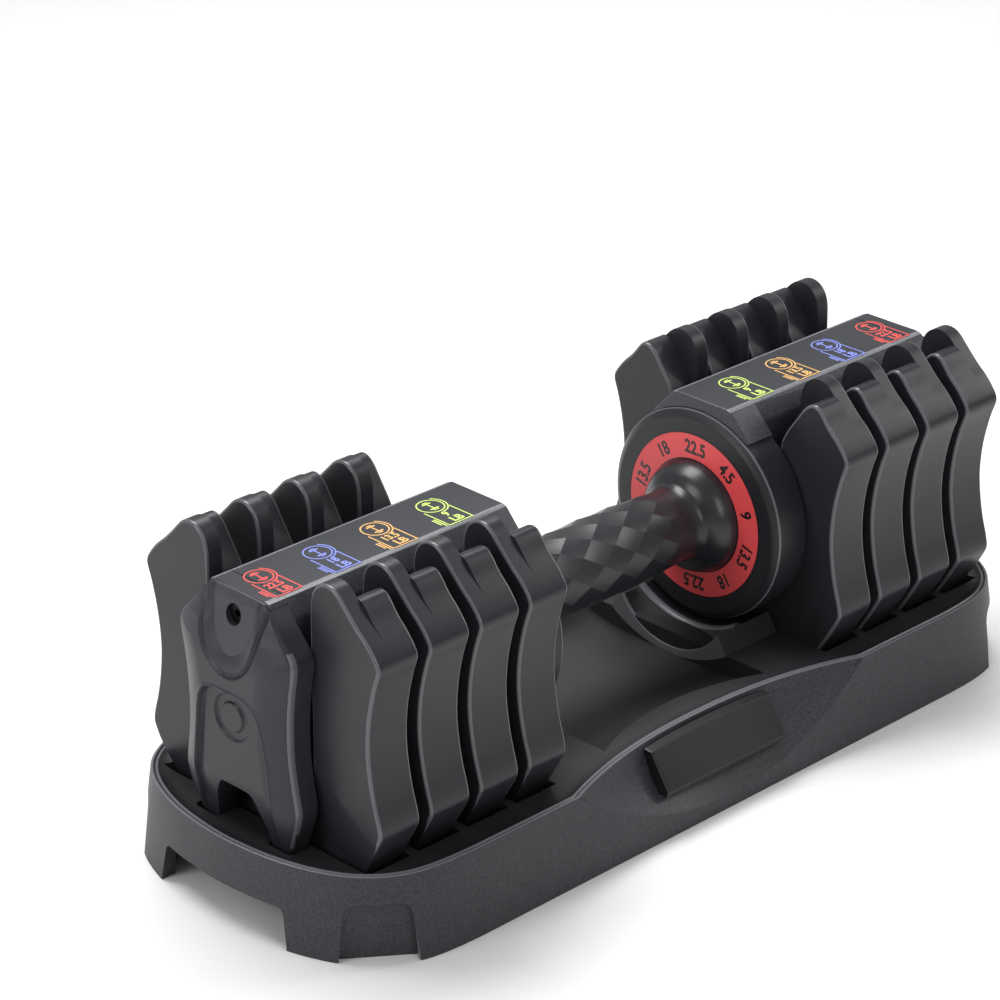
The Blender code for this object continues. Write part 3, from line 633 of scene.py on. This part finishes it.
def cover_loops(side, smooth_line, heights, widths):
    """Rows of points: the front face, then straight back to the plane against the plates."""
    u = np.linspace(-1.0, 1.0, COVER_COLUMNS)
    u = np.sign(u) * (1.0 - (1.0 - np.abs(u)) ** 1.25)
    y_grid = widths[:, None] * u[None, :]
    z_grid = np.repeat(heights[:, None], COVER_COLUMNS, axis=1)
    x_grid = cover_face(y_grid, z_grid, smooth_line)
    back = COVER_BACK / MM
    loops = []
    for xs, ys, z, width in zip(x_grid, y_grid, heights, widths):
        height = AXIS_Z + z * MM
        loop = [(side * x * MM, y * MM, height) for x, y in zip(xs, ys)]
        for w in (1.0, -1.0):
            for share in ((0.15, 0.6, 1.0) if w > 0 else (1.0, 0.6, 0.15)):
                x = xs[0] + (back - xs[0]) * share
                loop.append((side * x * MM, w * width * MM, height))
        loops.append(loop)
    return loops


def make_cover(tag, side):
    """End cover from its sculpted face, cut for the arch between its legs and for the screw."""
    heights = np.linspace(COVER_FOOT, COVER_TOP, COVER_ROWS)
    outline = COVER_SIDE_LINE + [(-y, z) for y, z in reversed(COVER_SIDE_LINE)]
    smooth_line = soften(outline)
    half = sorted([(z, y) for y, z in smooth_line if y > 0.0])
    widths = np.interp(heights, [z for z, y in half], [y for z, y in half])
    cover = loft("cover_shell_" + tag, cover_loops(side, smooth_line, heights, widths),
                 (COVER, COVER_HIGHLIGHT, COVER_PANEL_LIT))
    arch = slab("arch_" + tag, soften(at_axis(mirrored(ARCH_HALF))), 180.0 * MM, 212.0 * MM,
                0.1 * MM, 0.1 * MM, (COVER,), side)
    cut(cover, arch)
    # the rim takes a painted highlight, and the V panel's floor a lighter tone painted where it
    # faces the light
    centres = np.array([face.center[:] for face in cover.data.polygons])
    x = np.abs(centres[:, 0]) / MM
    y = centres[:, 1] / MM
    z = (centres[:, 2] - AXIS_Z) / MM
    to_rim = np.interp(z, heights, widths) - np.abs(y)
    on_rim = (to_rim < 0.75) & (x > 195.3) & (z > -50.0) & (z < 37.0)
    on_floor = (x > 194.0) & (line_distance(mirrored(V_FLOOR_HALF), y, z) < 0.0)
    for face in cover.data.polygons:
        if on_rim[face.index]:
            face.material_index = EDGE
        elif on_floor[face.index]:
            face.material_index = PANEL
    for name, low, high, radius, rise in (
        ("screw_hole_", 190.9, 215.0, 4.4, 44.0), ("shaft_bore_", 180.0, 195.0, 6.3, 0.0),
    ):
        profile = [(low, NEAR_AXIS), (low, radius), (high, radius), (high, NEAR_AXIS)]
        hole = turned_piece(name + tag, profile, (COVER,), side, 64)
        hole.location.z = rise * MM
        cut(cover, hole)
    bake(cover)
    shade(cover, 38.0, weighted=False)
    dress(cover, "carrier", ["end_cover_" + tag])


# ---------------------------------------------------------------- dial drums, rings, bells
def make_drum(tag, side):
    """Round face behind the number ring, with its notch, the pin's hole and the index mark."""
    profile = [
        (64.0, 38.15), (64.0, 44.4), (64.15, 45.1), (64.6, 46.0), (65.2, 46.9), (66.0, 47.9),
        (66.3, 48.25), (66.9, 48.4), (82.7, 48.4), (83.0, 48.1), (83.0, 41.0), (70.6, 41.0),
        (70.6, 12.0), (68.2, 12.0), (68.2, 38.0), (64.3, 38.0),
    ]
    # the front edge's rounding takes a painted highlight
    drum = turned_piece("dial_face_" + tag, profile, (DRUM, COVER_HIGHLIGHT), side, 160,
                        rim_rows=(5, 6))
    # a small moulded notch at the foot of the disc
    notch_line = at_axis([(-1.9, -47.4), (1.9, -47.4), (1.5, -45.9), (-1.5, -45.9)])
    cut(drum, slab("notch_" + tag, notch_line, 63.0 * MM, 66.4 * MM, 0.1 * MM, 0.1 * MM,
                   (DRUM,), side))
    cut(drum, upright_rod("pin_hole_" + tag, side, [(2.7, 35.0), (2.7, 48.0)], DRUM))
    bake(drum)
    shade(drum, 30.0)
    dress(drum, "carrier", ["dial_drum_" + tag])
    # index mark over the ring: a short bar with a tail
    mark = flat_strokes("index_mark_" + tag, [
        [(-2.3, 1.9), (2.5, 1.9), (2.5, 1.2), (-2.3, 1.2)],
        [(2.5, 1.3), (1.8, 1.3), (0.7, -3.2), (1.4, -3.2)],
    ], INK)
    place_on_dial(mark, side, 42.6, 91.0, DRUM_FACE / MM - 0.02)
    dress(mark, "carrier")


def make_ring(tag, side):
    """Number ring: flat C with softly rounded edges."""
    start = math.radians(-7.5)
    end = math.radians(298.0)
    steps = 120
    section = rounded_profile([(65.3, 37.8), (63.9, 37.8), (63.9, 26.2), (65.3, 26.2)], 0.3, 3)
    loops = []
    for k in range(steps + 1):
        t = start + (end - start) * k / steps
        loops.append([
            (side * x * MM, r * MM * math.cos(t), AXIS_Z + r * MM * math.sin(t)) for x, r in section
        ])
    ring = loft("red_ring_" + tag, loops, (RED,))
    shade(ring, 40.0)
    dress(ring, "selector", ["number_ring_" + tag])
    first = -208.0 if side > 0 else 82.5
    lines = []
    for radius in (38.25, 26.35):
        lines += ring_shape(radius, 0.45, 96, first, 305.5)
    border = flat_strokes("ring_border_" + tag, lines, INK)
    place_on_dial(border, side, 0.0, 0.0, RING_FACE / MM - 0.03)
    dress(border, "selector")
    for k, (text, angle) in enumerate(DIAL):
        numeral = lettering("numeral_%s%d" % (tag, k), text, DIAL_TEXT, INK, 0.84, 0.028)
        place_on_dial(numeral, side, 31.5, angle, RING_FACE / MM - 0.03)
        dress(numeral, "selector")


def place_on_dial(obj, side, radius, angle, x):
    """Turn a flat print, drawn in XY, to face the hand and stand on the ring at an angle."""
    t = math.radians(angle)
    up = Vector((0.0, math.cos(t), math.sin(t)))
    out = Vector((-side, 0.0, 0.0))
    right = up.cross(out)
    place = Matrix((
        (right.x, up.x, out.x, side * x * MM),
        (right.y, up.y, out.y, radius * MM * math.cos(t)),
        (right.z, up.z, out.z, AXIS_Z + radius * MM * math.sin(t)),
        (0.0, 0.0, 0.0, 1.0),
    ))
    obj.data.transform(place)


def lettering(name, text, size, mat, narrow, bold):
    """Flat print of a short text, size in mm, as a mesh in XY centred on the origin.

    narrow squeezes the letters, bold swells their strokes by a share of the size.
    """
    curve = bpy.data.curves.new(name, "FONT")
    curve.body = text
    curve.size = size * MM
    curve.align_x = "CENTER"
    curve.align_y = "CENTER"
    curve.offset = bold * size * MM
    curve.extrude = 0.02 * MM
    curve.resolution_u = 5
    obj = bpy.data.objects.new(name + "_text", curve)
    MADE.objects.link(obj)
    deps = bpy.context.evaluated_depsgraph_get()
    deps.update()
    mesh = bpy.data.meshes.new_from_object(obj.evaluated_get(deps))
    bpy.data.objects.remove(obj, do_unlink=True)
    mesh.transform(Matrix.Diagonal((narrow, 1.0, 1.0, 1.0)))
    mesh.materials.clear()
    mesh.materials.append(mat)
    made = bpy.data.objects.new(name, mesh)
    MADE.objects.link(made)
    return made


def flat_strokes(name, shapes, mat, thick=0.04):
    """Flat printed shapes: closed outlines in mm, in XY."""
    bm = bmesh.new()
    for shape in shapes:
        low = [bm.verts.new((a * MM, b * MM, -0.5 * thick * MM)) for a, b in shape]
        high = [bm.verts.new((a * MM, b * MM, 0.5 * thick * MM)) for a, b in shape]
        bm.faces.new(low)
        bm.faces.new(high)
        n = len(shape)
        for i in range(n):
            j = (i + 1) % n
            bm.faces.new((low[i], low[j], high[j], high[i]))
    return new_object(name, bm, (mat,))


def make_bell(tag, side):
    """Glossy collar that swells from the grip to a flange under the ring."""
    curve = [
        (42.2, 16.30), (46.0, 16.35), (49.0, 16.6), (51.2, 17.2), (52.6, 18.2), (53.6, 19.6),
        (54.6, 21.0), (56.0, 22.5), (58.0, 24.0), (60.4, 25.1), (62.6, 25.7), (64.2, 25.9),
    ]
    smooth = curve_through(curve, 4) + [curve[-1]]
    profile = [(43.0, 6.4)] + smooth + [
        (65.6, 25.95), (65.6, 37.9), (67.9, 37.9), (67.9, 11.6), (73.6, 11.6), (73.6, 6.4),
    ]
    bell = turned_piece("bell_" + tag, profile, (BELL,), side, 128)
    shade(bell, 32.0)
    dress(bell, "selector", ["bell_collar_" + tag])


# ---------------------------------------------------------------- grip
def make_grip():
    """Sleeve covered in long diamonds that fade out towards the bells."""
    around = 9
    pitch = 9.4
    rows = 9
    fine = 6
    reach = 42.3
    bm = bmesh.new()
    found = {}

    def radius(x):
        return 18.3 - 1.5 * (x / reach) ** 2

    def lattice(row, turn):
        x = row * pitch
        t = math.tau * turn / around
        r = radius(x)
        return Vector((x, r * math.cos(t), r * math.sin(t)))

    def vertex(p):
        x = max(-reach, min(reach, p.x))
        length = math.hypot(p.y, p.z)
        ease = min(1.0, max(0.0, (abs(p.x) - 33.0) / 8.5))
        ease = ease * ease * (3.0 - 2.0 * ease)
        r = length + (radius(x) * 0.985 - length) * ease
        key = (round(x, 3), round(math.degrees(math.atan2(p.z, p.y)) % 360.0, 2) % 360.0)
        if key not in found:
            spot = (x * MM, r * p.y / length * MM, AXIS_Z + r * p.z / length * MM)
            found[key] = bm.verts.new(spot)
        return found[key]

    for row in range(-(rows // 2) - 1, rows // 2 + 2):
        shift = 0.5 * (row % 2)
        for i in range(around):
            turn = i + shift
            left = lattice(row - 1, turn)
            right = lattice(row + 1, turn)
            high = lattice(row, turn + 0.5)
            low = lattice(row, turn - 0.5)
            grid = []
            for a in range(fine + 1):
                line = []
                for b in range(fine + 1):
                    s = a / fine
                    t = b / fine
                    p = (left * ((1 - s) * (1 - t)) + right * (s * t) + high * (s * (1 - t))
                         + low * ((1 - s) * t))
                    line.append(vertex(p))
                grid.append(line)
            for a in range(fine):
                for b in range(fine):
                    corners = [grid[a][b], grid[a + 1][b], grid[a + 1][b + 1], grid[a][b + 1]]
                    unique = []
                    for v in corners:
                        if v not in unique:
                            unique.append(v)
                    spread = max(v.co.x for v in unique) - min(v.co.x for v in unique)
                    if len(unique) >= 3 and spread > 1e-6 and bm.faces.get(unique) is None:
                        bm.faces.new(unique)
    bmesh.ops.remove_doubles(bm, verts=bm.verts, dist=2e-5)
    grip = new_object("grip", bm, (GRIP,))
    shade(grip, 9.0, weighted=False)
    dress(grip, "selector", ["grip_sleeve"])


# ---------------------------------------------------------------- labels on the housings
def ring_shape(radius, width, steps=48, start=0.0, span=360.0):
    """Quads of a flat ring or arc round the origin, in mm and degrees."""
    quads = []
    for k in range(steps):
        a = math.radians(start + span * k / steps)
        b = math.radians(start + span * (k + 1) / steps)
        inner = radius - width
        quads.append([
            (radius * math.cos(a), radius * math.sin(a)),
            (radius * math.cos(b), radius * math.sin(b)),
            (inner * math.cos(b), inner * math.sin(b)),
            (inner * math.cos(a), inner * math.sin(a)),
        ])
    return quads


def bar(x0, y0, x1, y1):
    """Upright rectangle, in mm."""
    return [(x0, y0), (x1, y0), (x1, y1), (x0, y1)]


def make_label(tag, side, index):
    """Weight label: dumbbell sign in a ring, the weight in a frame, and two short bars.

    Drawn with +X along the label, which on the housing is towards -Y; the text stands across it.
    """
    text, colour = LABELS[index]
    mat = PRINTS[colour]
    name = "label_%s%d" % (tag, index + 1)
    w = 0.62
    shapes = ring_shape(6.1, w) + ring_shape(7.5, w, 16, 5.0, 135.0)
    # generic dumbbell sign
    shapes += [bar(-2.0, -0.35, 2.0, 0.35), bar(-3.0, -2.2, -2.1, 2.2), bar(2.1, -2.2, 3.0, 2.2)]
    shapes += [bar(-4.0, -1.3, -3.3, 1.3), bar(3.3, -1.3, 4.0, 1.3)]
    # frame beside the ring, with two bars along its outer side
    shapes += [
        bar(4.4, 5.9, 18.6, 5.9 + w), bar(18.6 - w, -6.3, 18.6, 5.9),
        bar(3.4, -6.3 - w, 18.6, -6.3), bar(10.4, -8.2, 18.0, -7.5), bar(10.4, -9.4, 16.2, -8.7),
    ]
    flat = flat_strokes(name, shapes, mat)
    upright = Matrix.Rotation(math.radians(90.0), 4, "Z")
    number = lettering(name + "_number", text, LABEL_TEXT, mat, 0.80, 0.03)
    number.data.transform(Matrix.Translation((9.6 * MM, -0.4 * MM, 0.0)) @ upright)
    unit = lettering(name + "_unit", "LB", LABEL_TEXT, mat, 0.95, 0.03)
    unit.data.transform(Matrix.Translation((15.2 * MM, 0.3 * MM, 0.0)) @ upright)
    centre = side * (LABEL_FIRST + index * LABEL_STEP)
    place = Matrix((
        (0.0, 1.0, 0.0, centre),
        (-1.0, 0.0, 0.0, 3.4 * MM),
        (0.0, 0.0, 1.0, TOP_Z + 0.03 * MM),
        (0.0, 0.0, 0.0, 1.0),
    ))
    for obj in (flat, number, unit):
        obj.data.transform(place)
        dress(obj, "carrier")


# ---------------------------------------------------------------- storage tray
HALF_LENGTH = 211.0
HALF_WIDTH = 79.0
RIM_HIGH = 37.0
SIDE_END = 142.0
SCOOP_END = 88.0
CORNER = [
    (SIDE_END, HALF_WIDTH), (155.3, 78.5), (166.8, 77.2), (177.0, 74.4), (187.0, 68.6),
    (194.6, 61.0), (200.9, 50.6), (206.0, 37.0), (209.4, 21.0), (HALF_LENGTH, 0.0),
]


def curve_through(points, per_span):
    """Smooth curve through points (Catmull-Rom), without its last point."""
    made = []
    n = len(points)
    for i in range(n - 1):
        p0 = Vector(points[max(0, i - 1)])
        p1 = Vector(points[i])
        p2 = Vector(points[i + 1])
        p3 = Vector(points[min(n - 1, i + 2)])
        for k in range(per_span):
            t = k / per_span
            p = 0.5 * ((2 * p1) + (p2 - p0) * t + (2 * p0 - 5 * p1 + 4 * p2 - p3) * t * t
                       + (3 * p1 - p0 - 3 * p2 + p3) * t * t * t)
            made.append((p.x, p.y))
    return made


def quarter_path():
    """Quarter of the rim's outer edge, from the middle of the long side to the end."""
    side_x = list(np.linspace(0.0, SCOOP_END, 37))
    side_x += list(np.linspace(SCOOP_END, SIDE_END, 10))[1:-1]
    path = [(x, HALF_WIDTH) for x in side_x]
    bend = [(SIDE_END - 13.0, HALF_WIDTH)] + CORNER + [(209.4, -21.0)]
    smooth = curve_through(bend, 5)
    path += [p for p in smooth if p[0] >= SIDE_END - 1e-6 and p[1] > 0.4]
    path.append((HALF_LENGTH, 0.0))
    return path


def closed_path():
    """The rim's whole outer edge, finger scoops left out."""
    quarter = quarter_path()
    second = [(x, -y) for x, y in reversed(quarter[:-1])]
    third = [(-x, -y) for x, y in quarter[1:]]
    fourth = [(-x, y) for x, y in reversed(quarter[1:-1])]
    return quarter + second + third + fourth


def scoop_share(x):
    """0 at the middle of a finger scoop, 1 at its ends."""
    return min(1.0, abs(x) / SCOOP_END)


def rim_point(x, y):
    """Pull a point of the rim path back where the finger scoops are."""
    if abs(x) >= SCOOP_END or abs(y) < 60.0:
        return (x, y)
    return (x, math.copysign(63.8 + 15.2 * scoop_share(x) ** 2.3, y))


def wall_section(x, y):
    """Points (x, y, z) up the outer wall at one place of the path, from the foot to the rim."""
    foot = Vector((x * (1.0 + 3.2 / HALF_LENGTH), y * (1.0 + 5.0 / HALF_WIDTH), 0.0))
    top = Vector((x, y, RIM_HIGH))
    in_scoop = abs(x) < SCOOP_END and abs(y) > 60.0
    t = scoop_share(x)
    low_z = 6.0 + 30.4 * t ** 2.2 if in_scoop else 36.4
    low = foot.lerp(top, low_z / RIM_HIGH)
    rx, ry = rim_point(x, y)
    rim = Vector((rx, ry, 36.6))
    pull = 9.0 * (1.0 - t) ** 0.8 if in_scoop else 0.0
    mid = (low + rim) * 0.5
    mid.y -= math.copysign(pull, y)
    points = [foot.lerp(low, k / 5.0) for k in range(5)]
    for k in range(9):
        s = k / 8.0
        points.append(low.lerp(mid, s).lerp(mid.lerp(rim, s), s))
    return points


def tray_shell(path):
    """Outer wall up to the rim, the grooved rim and the deck inside it."""
    sections = [wall_section(x, y) for x, y in path]
    loops = []
    for level in range(len(sections[0])):
        loops.append([tuple(section[level] * MM) for section in sections])
    rim_line = [rim_point(x, y) for x, y in path]
    profile = [
        (0.12, 36.82), (0.38, 36.96), (0.75, RIM_HIGH), (1.10, 36.92), (1.30, 36.55), (1.55, 36.30),
        (2.05, 36.30), (2.30, 36.55), (2.55, 36.78), (2.95, 36.80), (3.35, 36.55), (4.1, 35.9),
        (5.2, 35.2), (6.8, 34.7), (9.0, 34.5),
    ]
    first_rim = len(loops)
    for inward, z in profile:
        line = inset(rim_line, inward)
        loops.append([(x * MM, y * MM, z * MM) for x, y in line])
    # the rim's outer edge and its two ridges take a painted highlight
    bright = list(range(first_rim - 1, first_rim + 3))
    bright += list(range(first_rim + 6, first_rim + 9))
    tray = loft("tray_shell", loops, (TRAY, TRAY_HIGHLIGHT, DECK), rim_rows=bright)
    for face in tray.data.polygons:
        if face.center.z > 34.0 * MM and face.normal.z > 0.5 and face.material_index == 0:
            face.material_index = DECK_SLOT
    return tray


def upright_cutter(name, line, low, high, mat):
    """Straight cutter over an outline in plan, from height low to high, in mm."""
    loops = [[(x * MM, y * MM, z * MM) for x, y in line] for z in (low, high)]
    return loft(name, loops, (mat,))


def cut_dish(tray):
    """Dish under the grip: its long edges bow in towards the middle."""
    dish = []
    for x in np.linspace(-49.7, 49.7, 41):
        edge = 45.2 + 7.4 * (x / 40.0) ** 2
        half = [
            (0.0, 24.2), (edge - 30.0, 24.6), (edge - 19.0, 25.6), (edge - 12.0, 27.0),
            (edge - 7.0, 29.0), (edge - 3.2, 31.6), (edge, 34.55), (edge + 1.0, 36.0),
            (edge + 4.0, 50.0), (0.0, 50.0),
        ]
        dish.append([(x * MM, y * MM, z * MM) for y, z in mirrored(half)])
    cut(tray, loft("dish", dish, (DECK,)))


def cut_slots(tray):
    """Slots for the plates and for the legs of the covers."""
    slot_half = [
        (0.0, -63.0), (54.6, -63.0), (58.6, -56.6), (64.6, -46.6), (66.0, -40.0), (0.0, -40.0),
    ]
    gap = 0.7 * MM
    leg = rounded_profile([(186.6, 14.8), (198.4, 14.8), (198.4, 29.0), (186.6, 29.0)], 2.0, 4)
    for tag, side in SIDES:
        for k in range(PLATE_COUNT):
            near = PLATE_OUT - k * PITCH + gap
            far = PLATE_OUT - k * PITCH - PLATE_T - gap
            cut(tray, slab("plate_slot_%s%d" % (tag, k), at_axis(mirrored(slot_half)), far, near,
                           0.05 * MM, 0.05 * MM, (DECK,), side, 1))
        for place in (-1.0, 1.0):
            line = [(side * a, place * b) for a, b in leg]
            cut(tray, upright_cutter("leg_slot_%s%d" % (tag, int(place)), line, 23.0, 50.0, DECK))


def cut_ends(tray):
    """Hand openings in the ends and sunk foot panels in the corners."""
    gate = rounded_profile([(-38.6, -2.0), (38.6, -2.0), (35.2, 17.6), (-35.2, 17.6)], 3.4, 5)
    arch = rounded_profile([(-16.4, -6.0), (16.4, -6.0), (13.2, 25.4), (-13.2, 25.4)], 6.0, 6)
    for tag, side in SIDES:
        loops = [[(side * x * MM, a * MM, b * MM) for a, b in gate] for x in (196.0, 222.0)]
        cut(tray, loft("gate_" + tag, loops, (TRAY,)))
        for place in (-1.0, 1.0):
            facing = Vector((side * 0.60, place * 0.80, 0.0))
            across = Vector((-facing.y, facing.x, 0.0))
            base = Vector((side * 187.6, place * 67.6, 0.0))
            loops = []
            for deep, grow in ((-1.6, 0.0), (2.2, 0.0), (5.2, 1.6), (22.0, 1.6)):
                line = inset(arch, -grow) if grow else arch
                spot = base + facing * deep
                loops.append([
                    tuple((spot + across * a + Vector((0.0, 0.0, b))) * MM) for a, b in line
                ])
            # the flared step round each panel takes a painted highlight
            cut(tray, loft("foot_panel_%s%d" % (tag, int(place)), loops, (TRAY, TRAY_HIGHLIGHT),
                           rim_rows=[1]))


def hollow_underside(tray, path):
    cut(tray, upright_cutter("under_low", inset(path, 3.0), -1.0, 9.5, TRAY))
    for tag, side in SIDES:
        end = [(side * x, y) for x, y in inset(path, 5.0) if x > 96.0]
        cut(tray, upright_cutter("under_end_" + tag, end, 6.0, 19.5, TRAY))
    middle = [(-98.0, -55.0), (98.0, -55.0), (98.0, 55.0), (-98.0, 55.0)]
    cut(tray, upright_cutter("under_middle", middle, 8.0, 19.0, TRAY))


def make_tray():
    path = closed_path()
    tray = tray_shell(path)
    cut_dish(tray)
    cut_slots(tray)
    cut_ends(tray)
    hollow_underside(tray, path)
    bake(tray)
    shade(tray, 32.0)
    dress(tray, "tray", ["tray"])


def make_cradle(tag, side):
    """Saddle under a dial drum: two lips with a dark crescent between them."""
    loops = []
    steps = 48
    reach = 33.5
    for k in range(steps + 1):
        a = math.radians(-reach + 2.0 * reach * k / steps)
        share = abs(a) / math.radians(reach)
        low = 58.3 - 6.9 * share ** 2.2
        section = [
            (49.3, 62.0), (49.3, low + 0.8), (49.7, low + 0.2), (50.5, low), (51.3, low + 0.3),
            (52.4, low + 1.6), (56.0, 0.5 * (low + 53.4) + 1.2),
            (59.4, 53.6 + 0.4 * (low - 51.4) / 6.9), (60.4, 51.8), (61.4, 50.9),
            (62.8, 50.5), (64.0, 51.0), (64.6, 52.0), (82.6, 52.0), (82.6, 62.0),
        ]
        loops.append([
            (side * x * MM, r * math.sin(a) * MM, AXIS_Z - r * math.cos(a) * MM) for x, r in section
        ])
    body = loft("cradle_" + tag, loops, (DECK, TRAY_HIGHLIGHT))
    # the two lips take a painted highlight
    for face in body.data.polygons:
        x = abs(face.center.x) / MM
        if len(face.vertices) == 4 and (49.25 < x < 51.4 or 60.2 < x < 63.9):
            face.material_index = EDGE
    shade(body, 50.0)
    dress(body, "tray")
    post = upright_rod("lock_post_" + tag, side, [(2.2, 25.0), (2.2, 42.3), (1.8, 42.7)], DECK)
    shade(post, 32.0)
    dress(post, "tray")


def make_pads():
    """Blank badge plates that stand proud in the finger scoops."""
    for name, place in (("front", -1.0), ("back", 1.0)):
        loops = []
        xs = [-37.0, -36.8, -36.3] + list(np.linspace(-35.0, 35.0, 29)) + [36.3, 36.8, 37.0]
        for x in xs:
            bow = 2.0 * (abs(x) / 37.0) ** 2
            section = [
                (65.0 + bow * 0.8, 35.4 - bow * 0.2), (69.6 + bow * 0.8, 35.2 - bow * 0.2),
                (81.2, 19.6), (80.2, 16.6), (74.0, 17.0),
            ]
            section = rounded_profile(section, 0.4, 4)
            edge = {37.0: 0.45, 36.8: 0.2}.get(abs(x), 0.0)
            if edge:
                section = inset(section, edge)
            loops.append([(x * MM, place * y * MM, z * MM) for y, z in section])
        pad = loft("badge_" + name, loops, (BADGE,))
        shade(pad, 35.0)
        dress(pad, "tray", ["badge_pad_" + name])


# ---------------------------------------------------------------- assemble
make_tray()
make_pads()
make_grip()
for tag, side in SIDES:
    make_cradle(tag, side)
    make_plates(tag, side)
    make_housing(tag, side)
    make_cover(tag, side)
    make_drum(tag, side)
    make_ring(tag, side)
    make_bell(tag, side)
    for index in range(len(LABELS)):
        make_label(tag, side, index)

# the hidden machinery keeps its CAD shapes
for node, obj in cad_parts.items():
    if not obj.hide_render:
        metal = BRONZE if "bush" in node else BLACKED if "screw" in node else STEEL
        obj.data.materials.clear()
        obj.data.materials.append(metal)


# ---------------------------------------------------------------- floor, light, camera
FLOOR_SIZE = 12.0
FLOOR_DROP = 0.0002
WORLD_LIGHT = 0.42
CENTRE = (0.0, 0.0, 0.08)
LEFT_MODULE = (-0.14, 0.0, 0.08)
SOFT_LIGHTS = (
    # name, place, aimed at, size, power in W
    ("top_softbox", (0.10, 0.55, 1.35), CENTRE, (1.4, 0.6), 25.0),
    ("left_softbox", (-1.5, 0.30, 0.75), CENTRE, (0.6, 1.0), 7.5),
    ("right_softbox", (1.35, -0.70, 0.95), CENTRE, (0.35, 0.9), 6.0),
    ("front_softbox", (-0.45, -1.35, 0.85), LEFT_MODULE, (0.5, 0.8), 4.0),
)
SENSOR = 36.0
LENS = 130.315
CAMERA_PLACE = (-0.99989, -0.96159, 0.75779)
CAMERA_AIM = (0.63586, 0.64682, -0.42108)


def make_floor():
    mesh = bpy.data.meshes.new("floor")
    bm = bmesh.new()
    bmesh.ops.create_grid(bm, x_segments=4, y_segments=4, size=FLOOR_SIZE)
    bm.to_mesh(mesh)
    bm.free()
    floor = bpy.data.objects.new("floor", mesh)
    floor.location.z = -FLOOR_DROP
    MADE.objects.link(floor)
    n = Nodes("pale_floor", (0.84, 0.84, 0.84), 0.65)
    mottle = n.noise(3.0, 2.0, 0.5)
    n.join(n.tint(mottle, (0.835, 0.835, 0.838), (0.85, 0.85, 0.85)), n.shader.inputs["Base Color"])
    mesh.materials.append(n.mat)


def make_world():
    world = bpy.data.worlds.new("studio")
    world.use_nodes = True
    background = world.node_tree.nodes["Background"]
    background.inputs["Color"].default_value = (1.0, 1.0, 1.0, 1.0)
    background.inputs["Strength"].default_value = WORLD_LIGHT
    bpy.context.scene.world = world
    bpy.context.scene.view_settings.view_transform = "Standard"


def soft_light(name, place, aim, size, power):
    data = bpy.data.lights.new(name, "AREA")
    data.shape = "RECTANGLE"
    data.size = size[0]
    data.size_y = size[1]
    data.energy = power
    light = bpy.data.objects.new(name, data)
    light.location = place
    light.rotation_euler = (Vector(aim) - Vector(place)).to_track_quat("-Z", "Y").to_euler()
    MADE.objects.link(light)


def make_camera():
    data = bpy.data.cameras.new("camera")
    data.sensor_width = SENSOR
    data.lens = LENS
    camera = bpy.data.objects.new("camera", data)
    camera.location = CAMERA_PLACE
    camera.rotation_mode = "QUATERNION"
    camera.rotation_quaternion = Vector(CAMERA_AIM).to_track_quat("-Z", "Y")
    MADE.objects.link(camera)
    bpy.context.scene.camera = camera


make_floor()
make_world()
for light in SOFT_LIGHTS:
    soft_light(*light)
make_camera()
